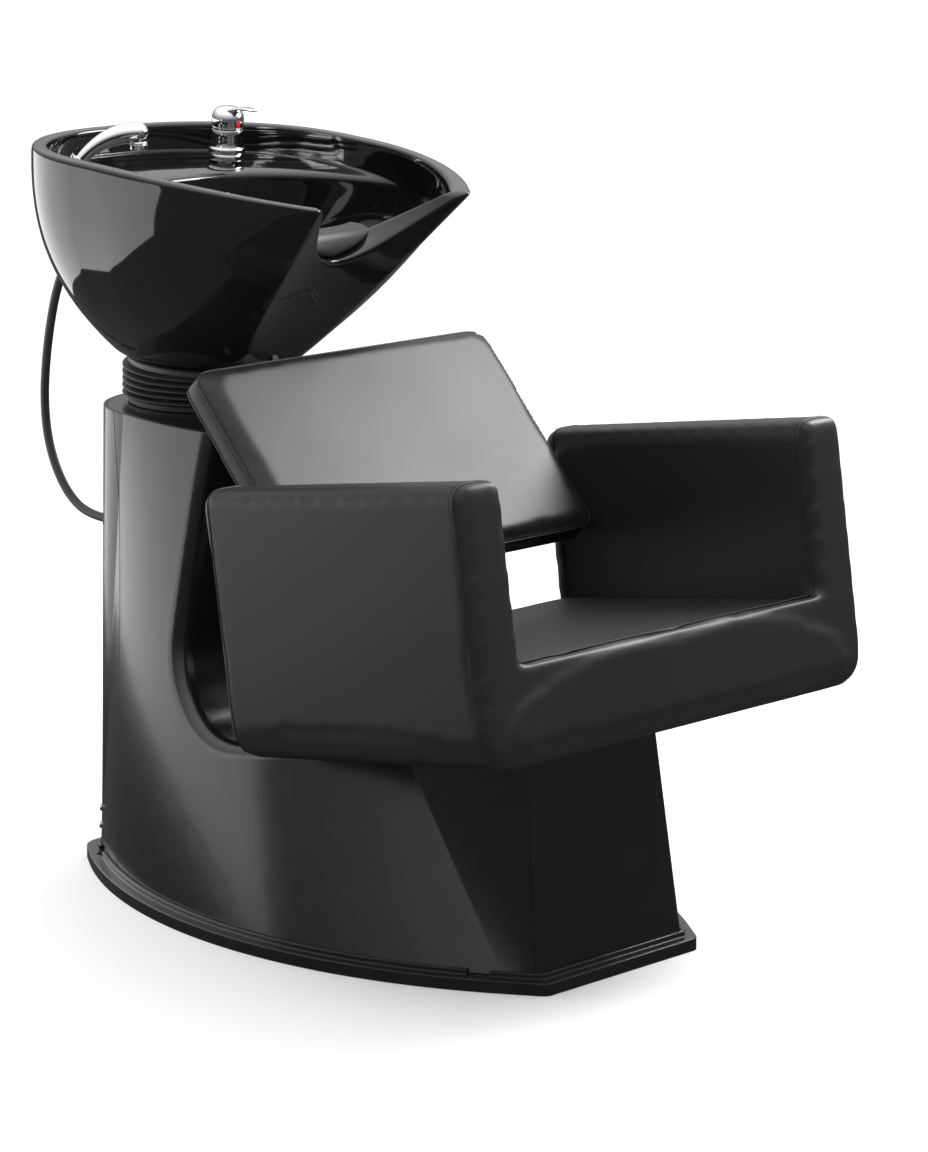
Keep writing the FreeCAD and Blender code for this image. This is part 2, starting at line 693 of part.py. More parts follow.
def arm_solid(side):
    """An arm drawn from its front view, lofted from the rear face to the front face."""
    inner, outer = d.chair_half - d.arm_thick, d.chair_half
    length = d.chair_front - d.arm_back

    def wire(inset, lift):
        corners = [
            (side * inner, d.seat_bottom + inset, d.seam_round),
            (side * (outer - inset), d.seat_bottom + inset, d.arm_foot_round - inset / 2),
            (side * (outer - inset), d.arm_top - inset, d.arm_round - inset / 4),
            (side * (inner + inset / 3), d.arm_top - inset, d.arm_round - inset / 4),
        ]
        return rounded(corners, lift)

    steps = ((0, 20), (4, 10), (12, 3), (24, 0), (length - 10, 0), (length - 3, 2), (length, 7))
    shape = pillow(wire, steps)
    shape.Placement = FreeCAD.Placement(V(0, -d.arm_back, 0), FRONTWARD)
    for y, z in arm_bolt_places():
        shape = shape.cut(Part.makeCylinder(
            d.bolt_shank + d.thread_gap, d.arm_bolt_reach + d.thread_gap,
            V(side * (inner - d.thread_gap), y, z), X_AXIS * side
        ))
    return shape


def arm_bolt_places():
    rise = d.seat_bottom + d.arm_bolt_rise
    return [(-d.arm_bolt_front, rise), (-d.arm_bolt_back, rise)]


def chair():
    inner = d.chair_half - d.arm_thick
    for label, side in (("left", -1), ("right", 1)):
        keep(f"arm_{label}", feature(f"{label}_arm", arm_solid(side)), CHAIR)

    reach = inner - d.soft_gap
    board_half = reach - d.board_inset
    front, back = -d.chair_front, -d.chair_back
    low, high = d.seat_bottom, d.seat_top - d.pad_thick - d.soft_gap
    block = box("seat_block", (-reach, front, low), (reach, back, high))
    room = d.soft_gap
    pocket = box("seat_pocket", (-board_half - room, front + d.board_inset - room, low - room),
                 (board_half + room, back - d.board_inset + room, low + d.board_thick + room))
    tools = [pocket]
    for i, (y, z) in enumerate(arm_bolt_places()):
        for k, side in enumerate((1, -1)):
            run = d.arm_bolt_reach + d.bolt_shank
            start = reach - run if side > 0 else -reach
            tools.append(rod(f"block_hole_{i}{k}", d.bolt_shank + d.thread_gap, run,
                             (start, y, z), "X"))
    keep("seat_base", minus("seat_foam", block, tools), CHAIR)
    board = box("board_sheet", (-board_half, front + d.board_inset, low),
                (board_half, back - d.board_inset, low + d.board_thick))
    holes = [rod(f"board_hole_{i}", d.bolt_shank + d.thread_gap, 3 * d.board_thick,
                 (x, y, low - d.board_thick))
             for i, (x, y) in enumerate(bolt_places())]
    keep("seat_board", minus("board", board, holes), CHAIR)

    def pad_wire(inset, lift):
        return cushion_wire(reach, front, back, d.arm_round, inset, lift)

    thick = d.pad_thick
    pad = pillow(pad_wire, ((0, 4), (6, 0), (thick - 12, 0), (thick - 7, 2), (thick - 4, 8),
                            (thick - 1, 45), (thick, 100)))
    pad.Placement = FreeCAD.Placement(V(0, 0, d.seat_top - thick), FreeCAD.Rotation())
    keep("seat_cushion", feature("seat_pad", pad), CHAIR)

    bolts = []
    for side in (1, -1):
        for y, z in arm_bolt_places():
            start = V(side * (inner - d.arm_bolt_reach), y, z)
            bolts.append(Part.makeCylinder(
                d.bolt_shank, 2 * d.arm_bolt_reach - d.thread_gap, start, X_AXIS * side))
    keep("arm_bolts", feature("arm_bolt_set", Part.makeCompound(bolts)), CHAIR)


def cushion_wire(half, front, back, corner, inset, lift):
    """A rounded rectangle, drawn in on all sides."""
    edge = corner - inset / 12
    return rounded([
        (-half + inset, front + inset, edge), (half - inset, front + inset, edge),
        (half - inset, back - inset, edge), (-half + inset, back - inset, edge),
    ], lift)


def bracket_height():
    return d.back_foot_z + d.bracket_rise


def back_rest():
    half_wide = d.chair_half - d.arm_thick - d.back_gap

    def wire(inset, lift):
        return cushion_wire(half_wide, 0, d.back_length, d.back_corner, inset, lift)

    thick = d.back_thick
    cushion = pillow(wire, ((0, 9), (5, 2), (13, 0), (thick - 18, 0), (thick - 10, 2),
                            (thick - 6, 7), (thick - 2, 40), (thick, 90)))
    cushion.Placement = FreeCAD.Placement(V(0, thick, 0), FRONTWARD)
    keep("back_cushion", feature("back_pad", cushion), BACK)
    inset = d.back_board_inset
    y0 = d.back_thick + d.soft_gap
    board = box("back_sheet", (inset - half_wide, y0, inset),
                (half_wide - inset, y0 + d.back_board_thick, d.back_length - inset))
    keep("back_board", board, BACK)

    face = y0 + d.back_board_thick
    half = d.bracket_side / 2
    post_face = d.axis_y - d.tube_side / 2
    arm = Part.makeBox(
        d.bracket_side, 2 * d.axis_y, d.bracket_side,
        V(-half, post_face - 2 * d.axis_y, bracket_height() - half)
    )
    behind = Part.makeBox(d.chair_half, d.column_top, 2 * d.column_top,
                          V(-d.chair_half / 2, face, -d.column_top))
    behind.Placement = BACK.multiply(behind.Placement)
    lean = math.radians(d.back_lean)
    meet = (d.bracket_rise + face * math.sin(lean)) / math.cos(lean)
    pad = Part.makeBox(3.6 * d.bracket_side, d.sheet_thick, 3 * d.bracket_side,
                       V(-1.8 * d.bracket_side, face, meet - 1.5 * d.bracket_side))
    pad.Placement = BACK.multiply(pad.Placement)
    keep("back_bracket", feature("bracket", arm.common(behind).fuse(pad).removeSplitter()))


# Basin

def belly(level):
    """How far the basin's wall has swung out at a share of its height."""
    return 1 - (1 - level) ** 2.6


def between(a, b, share):
    return a + (b - a) * share


def bowl_wire(level, inset=0.0):
    """Outer outline at a share of the height from the base to the rim."""
    out = belly(level)
    rise = between(d.base_rise, d.rim_rise, level)
    front = (
        between(0.5 * d.base_half, d.horn_half, level) - inset * 0.7,
        -between(d.base_front, d.horn_reach, level) + inset * 1.4,
        between(0.42 * d.base_half, d.horn_round, level),
    )
    half = between(d.base_half, d.bowl_half, out) - inset
    side = (half, -between(0.3 * d.base_front, d.bowl_shoulder, out))
    rear = (half, between(d.base_rear, d.bowl_rear, out) - inset,
            between(d.base_round, d.bowl_round, out) - inset)
    return hexagon(front, side, rear, rise)


def basin_wire(share):
    """Inner outline at a share of the height from the basin's floor to its deck."""
    out = belly(share)
    rise = between(d.basin_floor, d.rim_rise - d.deck_drop, share)
    level = (rise - d.base_rise) / (d.rim_rise - d.base_rise)
    front_wall = -between(d.base_front, d.horn_reach, level) + 1.6 * d.bowl_wall
    front = (
        between(0.6 * d.floor_half, d.horn_half - 2 * d.bowl_wall, share),
        between(-0.9 * d.floor_half, front_wall, share),
        between(0.5 * d.floor_half, d.basin_corner, share),
    )
    half = between(d.floor_half, d.basin_half, out)
    side = (half, -between(0.2 * d.floor_half, 0.72 * d.bowl_shoulder, out))
    rear = (half, between(0.9 * d.floor_half, d.basin_rear, share),
            between(0.8 * d.floor_half, 0.9 * d.basin_half, out))
    return hexagon(front, side, rear, rise)


def notch_wire(inset, y):
    """The neck notch seen from the front, drawn in X and Z, as a wire at depth y."""
    low = d.rim_rise - d.notch_drop + inset
    top = d.rim_rise + d.bowl_wall
    flare = (d.horn_half - d.notch_half) / d.notch_drop
    foot = d.notch_half - inset
    head = foot + flare * (top - low)
    corner = d.notch_round - inset * 0.4
    flat = rounded([(-foot, low, corner), (foot, low, corner), (head, top, 1), (-head, top, 1)])
    flat.Placement = FreeCAD.Placement(V(0, y, 0), FreeCAD.Rotation(X_AXIS, 90))
    return flat


def bowl_shape():
    outer = loft([bowl_wire(level) for level in (0, 0.16, 0.36, 0.62, 1)]).common(rim_arch())
    deck = d.rim_rise - d.deck_drop
    rim_level = 1 - d.deck_drop / (d.rim_rise - d.base_rise)
    recess_foot = bowl_wire(rim_level, d.bowl_wall + 2)
    recess_top = bowl_wire(1, d.rim_wide)
    recess = loft([recess_foot, recess_top], ruled=True)
    basin = loft([basin_wire(share) for share in (0, 0.3, 0.65, 1)])
    throat = prism(basin_wire(1), V(0, 0, d.bowl_wall))
    notch = prism(notch_wire(0, -0.42 * d.horn_reach), V(0, -d.horn_reach, 0))
    foot = prism(rounded([
        (x * d.foot_recess, y * d.foot_recess, d.foot_recess / 2)
        for x, y in ((-1, -1), (1, -1), (1, 1), (-1, 1))
    ], 0), V(0, 0, d.basin_floor - d.bowl_wall))
    cuts = [recess, basin, throat, notch, foot, under_deck()]
    cuts.append(Part.makeCylinder(d.waste_shank + d.soft_gap, d.basin_floor))
    cuts.append(Part.makeCylinder(
        d.drain_wide + d.soft_gap, d.bowl_wall, V(0, 0, d.basin_floor - d.drain_sink - d.thread_gap)
    ))
    for x in (d.supply_near, d.supply_far):
        cuts.append(Part.makeCylinder(
            d.supply_shank + d.supply_room, 3 * d.base_rise, V(x, d.supply_back, 0)
        ))
    for x, y in bowl_bolt_places():
        cuts.append(Part.makeCylinder(
            d.bowl_bolt + d.thread_gap, d.base_rise + d.bowl_bolt_depth + d.thread_gap, V(x, y, 0)
        ))
    cuts.append(Part.makeCylinder(
        d.mixer_shank + d.soft_gap, 3 * d.deck_thick,
        V(d.mixer_x, d.mixer_y, deck - 2 * d.deck_thick)
    ))
    cuts.append(along_spray(d.socket_shank + d.soft_gap, -2 * d.socket_low, d.socket_rise))
    cuts.append(Part.makeCylinder(
        d.union_wide + d.soft_gap, 2 * d.union_depth,
        UNION_END - UNION_AXIS * (d.union_depth + d.soft_gap), UNION_AXIS
    ))
    shape = outer
    for cut in cuts:
        shape = shape.cut(cut)
    return shape


def rim_arch():
    """All below the rim, which falls in a long arc from its sides to the horns and the back."""
    span = d.bowl_rear + d.rim_peak
    radius = (span * span + d.rim_fall * d.rim_fall) / (2 * d.rim_fall)
    start = V(-d.horn_reach, -d.rim_peak, d.rim_rise - radius)
    return Part.makeCylinder(radius, 2 * d.horn_reach, start, X_AXIS)


def under_deck():
    """The hollow behind the basin, under the deck, which holds the fittings' tails."""
    low = d.base_rise + 2 * d.deck_thick
    high = d.rim_rise - d.deck_drop - d.deck_thick
    tall = d.rim_rise - d.base_rise
    levels = [(between(low, high, share) - d.base_rise) / tall for share in (0, 0.3, 0.65, 1)]
    inner = loft([bowl_wire(level, d.bowl_wall) for level in levels])
    half = d.bowl_half - 5 * d.bowl_wall
    behind = d.basin_rear + d.bowl_wall
    return inner.common(Part.makeBox(2 * half, d.bowl_rear, high, V(-half, behind, 0)))


def bowl_bolt_places():
    return [(x * d.bowl_bolt_x, y * d.bowl_bolt_y) for x in (1, -1) for y in (1, -1)]


def spray_frame():
    """Where the hand spray's socket stands: Z runs up its stem, X towards the basin."""
    deck = d.rim_rise - d.deck_drop
    heading = FreeCAD.Rotation(Z_AXIS, -d.spray_turn)
    lean = FreeCAD.Rotation(Y_AXIS, d.spray_lean)
    return FreeCAD.Placement(V(d.spray_x, d.spray_y, deck), heading.multiply(lean))


def along_spray(radius, low, high):
    """A round bar along the hand spray's stem, in the basin's frame."""
    bar = Part.makeCylinder(radius, high - low, V(0, 0, low))
    bar.Placement = spray_frame()
    return bar


# Hose route: out of the basin's back wall, down in a loop and into the rear cover
HOSE_POINTS = [
    (-80, 520, 795), (-80, 541, 769), (-80, 557, 734), (-80, 570, 690), (-80, 580, 642),
    (-80, 585, 593), (-80, 581, 546), (-80, 565, 503), (-80, 537, 467), (-80, 496, 446),
    (-80, 455, 446),
]


def to_bowl(point):
    return BOWL.inverse().multVec(V(*point))


UNION_END = to_bowl(HOSE_POINTS[0])
UNION_AXIS = (to_bowl(HOSE_POINTS[1]) - UNION_END).normalize()


def neck_pad():
    """A soft collar that fills the notch's foot, with a dished top, flush with the front wall."""
    foot = d.rim_rise - d.notch_drop
    lip = -between(d.base_front, d.horn_reach, (foot - d.base_rise) / (d.rim_rise - d.base_rise))
    block = Part.makeBox(2 * d.neck_half, d.neck_deep, d.neck_rise + d.neck_dish, V(-d.neck_half, 0, foot))
    radius = (d.neck_half * d.neck_half + d.neck_dish * d.neck_dish) / (2 * d.neck_dish)
    dish = Part.makeCylinder(radius, d.neck_deep, V(0, 0, foot + d.neck_rise + radius), Y_AXIS)
    pad = block.common(prism(notch_wire(d.soft_gap, d.neck_deep), V(0, -d.neck_deep, 0))).cut(dish)
    pad.Placement = FreeCAD.Placement(V(0, lip - d.neck_proud, 0), FreeCAD.Rotation())
    return pad


def basin():
    keep("bowl", feature("bowl_ceramic", bowl_shape()), BOWL)
    keep("neck_rest", feature("neck_pad", neck_pad()), BOWL)

    low = d.base_rise - d.soft_gap - d.bowl_plate_thick
    run = 3 * d.bowl_plate_thick
    disc = rod("bowl_disc", d.bowl_plate_half, d.bowl_plate_thick, (0, 0, low))
    start = low - d.bowl_plate_thick
    cuts = [rod("bowl_disc_waste", d.waste_shank + d.supply_room, run, (0, 0, start))]
    for i, x in enumerate((d.supply_near, d.supply_far)):
        cuts.append(rod(f"bowl_disc_supply_{i}", d.supply_shank + d.supply_room, run,
                        (x, d.supply_back, start)))
    for i, (x, y) in enumerate(bowl_bolt_places()):
        cuts.append(rod(f"bowl_disc_bolt_{i}", d.bowl_bolt + d.thread_gap, run, (x, y, start)))
    keep("bowl_plate", minus("bowl_steel", disc, cuts), BOWL)
    bolts = []
    for x, y in bowl_bolt_places():
        head = hex_head(x, y, low - d.bowl_bolt, 1.8 * d.bowl_bolt, d.bowl_bolt)
        tip = d.base_rise + d.bowl_bolt_depth
        bolts.append(head.fuse(Part.makeCylinder(d.bowl_bolt, tip - low, V(x, y, low))))
    keep("bowl_bolts", feature("bowl_bolt_set", Part.makeCompound(bolts)), BOWL)


# Tilt hinge

def lug(name, x0, low):
    """A flat ear with a round end about the tilt axis; its foot lies at low."""
    half = d.lug_half
    foot = box(name + "_foot", (x0, -half, low if low < 0 else 0),
               (x0 + d.lug_thick, half, 0 if low < 0 else low))
    eye = rod(name + "_eye", half, d.lug_thick, (x0, 0, 0), "X")
    return joined(name + "_ear", [foot, eye])


def tilt_hinge():
    inner, thick, gap = d.lug_inner, d.lug_thick, d.washer_thick
    upper_foot = d.base_rise - d.soft_gap - d.bowl_plate_thick
    lower_foot = d.column_top - d.shell_wall - d.soft_gap - d.axis_z
    outer = inner + thick + gap
    hole = d.pin_shank + d.running_gap
    ears = [lug("upper_right", inner, upper_foot), lug("upper_left", -inner - thick, upper_foot)]
    bore = rod("upper_bore", hole, 4 * inner, (-2 * inner, 0, 0), "X")
    keep("tilt_ears", minus("tilt_upper", joined("tilt_upper_ears", ears), [bore]), BOWL)
    ears = [lug("lower_right", outer, lower_foot), lug("lower_left", -outer - thick, lower_foot)]
    bore = rod("lower_bore", d.pin_shank, 4 * inner, (-2 * inner, 0, 0), "X")
    base = minus("tilt_lower", joined("tilt_lower_ears", ears), [bore])
    keep("tilt_bracket", base, FreeCAD.Placement(V(0, d.axis_y, d.axis_z), FreeCAD.Rotation()))
    pins, washers = [], []
    for side in (1, -1):
        start = V(side * (inner - 3), d.axis_y, d.axis_z)
        pin = Part.makeCylinder(d.pin_shank, 2 * thick + gap + 3, start, X_AXIS * side)
        head = Part.makeCylinder(
            d.pin_shank + 5, 4, V(side * (outer + thick), d.axis_y, d.axis_z), X_AXIS * side
        )
        pins.append(pin.fuse(head))
        at = V(side * (inner + thick + 0.05), d.axis_y, d.axis_z)
        ring_out = Part.makeCylinder(d.lug_half - 1, gap - 0.1, at, X_AXIS * side)
        washers.append(ring_out.cut(Part.makeCylinder(d.pin_shank, gap, at, X_AXIS * side)))
    keep("tilt_pins", feature("tilt_pin_set", Part.makeCompound(pins)))
    keep("friction_washers", feature("friction_washer_set", Part.makeCompound(washers)))


# Bellows

def bellows_circle(radius, share):
    """A circle of the bellows, part way from the column cap to the basin's base."""
    low = V(0, d.axis_y, d.column_top + d.soft_gap)
    high = BOWL.multVec(V(0, 0, d.base_rise - d.soft_gap))
    centre = low + (high - low) * share
    tilt = FreeCAD.Rotation(X_AXIS, d.rest_tilt * share)
    return Part.Wire(Part.Circle(centre, tilt.multVec(Z_AXIS), radius).toShape())


def bellows():
    """Ribs between two plain cuffs, as a thin rubber wall."""
    cuff = 0.17
    count = int(d.bellows_ribs)
    skins = []
    for wall in (0, d.bellows_wall):
        outline = [(0, d.bellows_in), (cuff, d.bellows_in)]
        pitch = (1 - 2 * cuff) / count
        for rib in range(count):
            start = cuff + rib * pitch
            for part, radius in ((0.28, d.bellows_out), (0.62, d.bellows_out), (1, d.bellows_in)):
                outline.append((start + part * pitch, radius))
        outline.append((1, d.bellows_in))
        skins.append(loft([bellows_circle(r - wall, s) for s, r in outline], ruled=True))
    keep("bellows", feature("bellows_skin", skins[0].cut(skins[1])))
    for label, frame, low in (
        ("clamp_lower", FreeCAD.Placement(V(0, d.axis_y, d.column_top), FreeCAD.Rotation()), 1.5),
        ("clamp_upper", bowl_place(0, 0, d.base_rise), -1.5 - d.clamp_wide),
    ):
        band = turned(label + "_band", ring(
            d.bellows_in + d.soft_gap, d.bellows_in + d.clamp_thick, low, low + d.clamp_wide))
        keep(label, band, frame)


# Waste and supplies

def bowl_place(x, y, rise, turn=None):
    """A placement in the basin's frame."""
    return BOWL.multiply(FreeCAD.Placement(V(x, y, rise), turn or FreeCAD.Rotation()))


def waste():
    floor = d.basin_floor
    seat = d.strainer_wide + 1
    drain = turned("drain_body", [
        (d.waste_bore, -d.tail_drop), (d.waste_shank, -d.tail_drop),
        (d.waste_shank, -d.drain_sink), (d.drain_wide, -d.drain_sink),
        (d.drain_wide, d.drain_lip), (seat, d.drain_lip),
        (seat, -d.strainer_sink), (d.waste_bore, -d.strainer_sink),
    ])
    keep("drain_flange", drain, bowl_place(0, 0, floor))
    nut = turned("waste_ring", ring(
        d.waste_shank + d.thread_gap, d.nut_wide, -d.nut_rise - d.thread_gap, -d.thread_gap))
    keep("waste_nut", nut, bowl_place(0, 0, floor - d.bowl_wall))
    rim = d.strainer_wide - d.strainer_rim
    cup = turned("strainer_cup", [
        (0, 0), (d.strainer_wide, 0), (d.strainer_wide, d.strainer_rise), (rim, d.strainer_rise),
        (rim, d.strainer_floor), (d.knob_wide, d.strainer_floor), (d.knob_wide, d.knob_rise),
        (0, d.knob_rise),
    ])
    spot = V(rim * 0.6, 0, -d.strainer_floor)
    holes = Part.makeCompound([
        Part.makeCylinder(d.strainer_hole, d.knob_rise, FreeCAD.Rotation(Z_AXIS, 45 * k).multVec(spot))
        for k in range(8)
    ])
    strainer = minus("strainer_cut", cup, [feature("strainer_holes", holes)])
    keep("hair_strainer", strainer, bowl_place(0, 0, floor - d.strainer_sink + d.soft_gap))

    low = V(0, d.axis_y, d.spigot_rise)
    tail = BOWL.multVec(V(0, 0, floor - d.tail_drop))
    high = V(0, d.axis_y, tail.z - d.waste_shank * math.sin(math.radians(d.rest_tilt)) - d.soft_gap)
    path = Part.Wire([Part.LineSegment(low, high).toShape()])
    keep("waste_hose", feature("waste_tube", tube(path, d.waste_shank, d.waste_bore)))
    shoulder, neck = d.spigot_low + d.spigot_free, d.waste_shank - d.spigot_step
    top = d.spigot_rise - d.thread_gap
    spigot = turned("waste_pipe", [
        (d.waste_bore, d.spigot_low), (d.waste_shank, d.spigot_low), (d.waste_shank, shoulder),
        (neck, shoulder), (neck, top), (d.waste_bore, top),
    ])
    place(spigot, (0, d.axis_y, 0))
    keep("waste_spigot", spigot)


def supplies():
    """Hot and cold hoses from the inlets at the floor up to the mixer's tails."""
    foot_y, rise_y = d.axis_y + d.supply_foot, d.axis_y + d.supply_back
    foot = d.flange_thick + d.sheet_thick + d.inlet_rise
    deck = d.rim_rise - d.deck_drop
    tails = []
    for label, x, side in (("hot_hose", d.supply_near, -1), ("cold_hose", d.supply_far, 1)):
        end = BOWL.multVec(V(d.mixer_x + side * d.tail_half, d.mixer_y, deck - d.mixer_tail))
        end.z -= d.soft_gap + d.supply_shank * math.sin(math.radians(d.rest_tilt))
        path, radii = tube_path([
            (x, foot_y, foot), (x, foot_y, 0.3 * d.column_top), (x, rise_y, 0.6 * d.column_top),
            (x, rise_y, d.axis_z + d.supply_clear), (end.x, end.y, end.z - d.supply_drop), tuple(end),
        ])
        keep(label, feature(label + "_tube", tube(path, d.supply_shank, d.supply_bore)))
        low = V(x, foot_y, d.spigot_low)
        pipe = Part.makeCylinder(d.inlet_shank, d.spigot_free, low).fuse(Part.makeCylinder(
            d.inlet_shank - d.spigot_step, foot - d.thread_gap - d.spigot_low, low))
        tails.append(pipe.cut(Part.makeCylinder(d.supply_bore, foot, V(x, foot_y, 0))))
    keep("inlet_tails", feature("inlet_tail_set", Part.makeCompound(tails)))


# Mixer tap

def mixer():
    frame = bowl_place(d.mixer_x, d.mixer_y, d.rim_rise - d.deck_drop)
    bore = d.stem_shank + d.running_gap
    base = turned("mixer_casting", [
        (bore, -d.mixer_tail), (d.mixer_shank, -d.mixer_tail), (d.mixer_shank, d.thread_gap),
        (d.mixer_foot, d.thread_gap), (d.mixer_foot - 1, d.mixer_foot_rise),
        (d.mixer_ring, d.mixer_foot_rise + 1), (d.mixer_ring, d.mixer_ring_rise - 1),
        (d.mixer_body, d.mixer_ring_rise), (d.mixer_body, d.mixer_rise), (bore, d.mixer_rise),
    ])
    keep("mixer_base", base, frame)
    nut_top = -d.deck_thick - d.thread_gap
    nut = turned("mixer_ring_nut", ring(
        d.mixer_shank + d.thread_gap, d.mixer_ring, nut_top - d.nut_rise, nut_top))
    keep("mixer_nut", nut, frame)

    collar_low = d.mixer_rise + d.soft_gap
    collar_top = collar_low + d.collar_thick
    post = turned("collar_turning", [
        (0, -d.mixer_foot), (d.stem_shank, -d.mixer_foot), (d.stem_shank, collar_low),
        (d.collar_wide, collar_low), (d.collar_wide, collar_top), (d.post_wide, collar_top),
        (d.post_wide, d.lever_axis + 5), (0, d.lever_axis + 5),
    ])
    pin_half = d.dome_wide - 2
    pin = rod("lever_pin", d.lever_pin, 2 * pin_half, (-pin_half, 0, d.lever_axis), "X")
    keep("mixer_collar", joined("collar", [post, pin]), frame)

    cap_low = collar_top + d.soft_gap
    inner = d.dome_wide - d.dome_wall
    shoulder = between(cap_low, d.dome_top, 0.45)
    crown = d.dome_top - d.dome_wall
    dome = turned("lever_dome", [
        (inner, cap_low), (d.dome_wide, cap_low), (d.dome_wide, shoulder),
        (0.86 * d.dome_wide, between(shoulder, d.dome_top, 0.62)), (0.5 * d.dome_wide, d.dome_top - 1),
        (0, d.dome_top), (0, crown), (0.5 * inner, crown - 1), (inner, shoulder),
    ])
    root, tip = -0.4 * d.dome_wide, -d.lever_reach

    def blade_wire(y, half, low, high):
        corner = (high - low) * 0.45
        wire = rounded([(-half, low, corner), (half, low, corner), (half, high, corner),
                        (-half, high, corner)])
        wire.Placement = FreeCAD.Placement(V(0, y, 0), FreeCAD.Rotation(X_AXIS, 90))
        return wire

    thick = d.lever_thick
    top = d.dome_top + 1
    blade = loft([
        blade_wire(root, d.lever_wide / 2, crown - thick, crown),
        blade_wire(0.55 * tip, d.lever_wide / 2, top - thick - 1, top - 2),
        blade_wire(tip, d.lever_tip / 2, top - 0.6 * thick, top),
    ])
    blade = blade.cut(Part.makeCylinder(inner, d.dome_top))
    slope = d.lever_lift + 2
    rear = Part.makeBox(4 * d.dome_wide, 4 * d.dome_wide, 4 * d.dome_wide,
                        V(-2 * d.dome_wide, -0.25 * d.dome_wide, -4 * d.dome_wide))
    drop = d.lever_axis - cap_low
    rear.translate(V(0, 0, -drop))
    rear.Placement = FreeCAD.Placement(
        V(0, 0, d.lever_axis), FreeCAD.Rotation(X_AXIS, slope)).multiply(rear.Placement)
    dot_z = between(cap_low, shoulder, 0.55)
    dot_hole = rod("dot_hole", d.dot_wide + d.running_gap, d.dome_wall, (0, -1.1 * d.dome_wide, dot_z),
                   "Y")
    pin_hole = rod("pin_hole", d.lever_pin + d.running_gap, 4 * pin_half,
                   (-2 * pin_half, 0, d.lever_axis), "X")
    solid = joined("lever_cast", [dome, feature("lever_blade", blade)])
    lever = minus("lever", solid, [feature("lever_relief", rear), dot_hole, pin_hole])
    keep("mixer_lever", lever, frame)
    depth = d.dome_wall - d.thread_gap - 0.1 * d.dome_wide
    dot = rod("dot", d.dot_wide, depth, (0, -d.dome_wide, dot_z), "Y")
    keep("lever_dot", dot, frame)


# Hand spray and its hose

def spray():
    deck = d.rim_rise - d.deck_drop
    above = Part.makeBox(4 * d.socket_low, 4 * d.socket_low, 4 * d.socket_low, V(
        d.spray_x - 2 * d.socket_low, d.spray_y - 2 * d.socket_low, deck + d.thread_gap))
    socket = along_spray(d.socket_wide, -d.socket_low, d.socket_rise).common(above)
    socket = socket.fuse(along_spray(d.socket_shank, -d.socket_low, d.socket_rise))
    socket = socket.cut(along_spray(d.spray_stem + d.running_gap, -2 * d.socket_low, 2 * d.socket_low))
    keep("spray_socket", feature("socket", socket.removeSplitter()), BOWL)
    nut_low = d.nut_rise / 2 - d.socket_low
    nut = along_spray(d.socket_nut_wide, nut_low, nut_low + d.nut_rise / 2)
    nut = nut.cut(along_spray(d.socket_shank + d.thread_gap, -2 * d.socket_low, d.socket_low))
    keep("socket_nut", feature("socket_ring", nut), BOWL)

    def bend(share):
        """Centre and heading on the handset's arc, in the stem's own frame."""
        turn = math.radians(d.spray_curl * share)
        centre = V(d.spray_bend * (1 - math.cos(turn)), 0, d.stem_high + d.spray_bend * math.sin(turn))
        return centre, V(math.sin(turn), 0, math.cos(turn))

    sections = []
    for share in (0, 0.25, 0.6, 1):
        centre, heading = bend(share)
        radius = between(d.spray_stem, d.spray_head, min(1, share * 1.2))
        sections.append(Part.Wire(Part.Circle(centre, heading, radius).toShape()))
    head, heading = bend(1)
    down = V(heading.z, 0, -heading.x)
    stem = Part.makeCylinder(d.spray_stem, d.stem_low + d.stem_high, V(0, 0, -d.stem_low))
    handset = stem.fuse(loft(sections)).fuse(Part.makeSphere(d.spray_head, head))
    boss = Part.makeCylinder(d.nozzle_wide, d.nozzle_near, head, down)
    frame = BOWL.multiply(spray_frame())
    keep("spray_handset", feature("handset", handset.fuse(boss).removeSplitter()), frame)
    nozzle = turned("nozzle_turning", [
        (0, d.nozzle_near + d.thread_gap), (d.nozzle_wide, d.nozzle_near + d.thread_gap),
        (d.nozzle_wide, d.nozzle_far - 1.5), (d.nozzle_wide - 1.5, d.nozzle_far), (0, d.nozzle_far),
    ])
    keep("spray_nozzle", nozzle, frame.multiply(
        FreeCAD.Placement(head, FreeCAD.Rotation(Z_AXIS, down))))


def hose():
    path, radii = tube_path(HOSE_POINTS)
    body = tube(path, d.hose_half, d.hose_bore)
    section = math.pi * (d.hose_half * d.hose_half - d.hose_bore * d.hose_bore)
    print("hose radii", radii, "length", round(path.Length, 1),
          "volume share", round(body.Volume / (section * path.Length), 4))
    keep("spray_hose", feature("hose_tube", body))
    union = turned("union_boot", [
        (d.hose_bore, -d.union_depth), (d.union_wide, -d.union_depth),
        (d.union_wide, -d.union_taper), (d.hose_half + 2, 0), (d.hose_bore, 0),
    ])
    keep("hose_union", union, BOWL.multiply(
        FreeCAD.Placement(UNION_END, FreeCAD.Rotation(Z_AXIS, UNION_AXIS))))


def main():
    keep("base_plinth", base_plinth())
    pedestal_shells()
    steel_frame()
    head_plate()
    chair_bolts()
    chair()
    back_rest()
    basin()
    tilt_hinge()
    bellows()
    waste()
    supplies()
    mixer()
    spray()
    hose()
    doc.recompute()
    os.makedirs("parts", exist_ok=True)
    for item in doc.Objects:
        if "Invalid" in item.State or "Error" in item.State:
            raise RuntimeError(f"{item.Label} failed: {item.State}")
    for label, item in pieces.items():
        shape = item.Shape
        if shape.isNull() or not shape.isValid():
            raise RuntimeError(f"{label} has no valid shape")
    for label, item in pieces.items():
        item.Shape.exportStep(f"parts/{label}.step")
        print(f"{label}: {len(item.Shape.Solids)} solids, {item.Shape.Volume / 1000:.1f} cm3")


main()
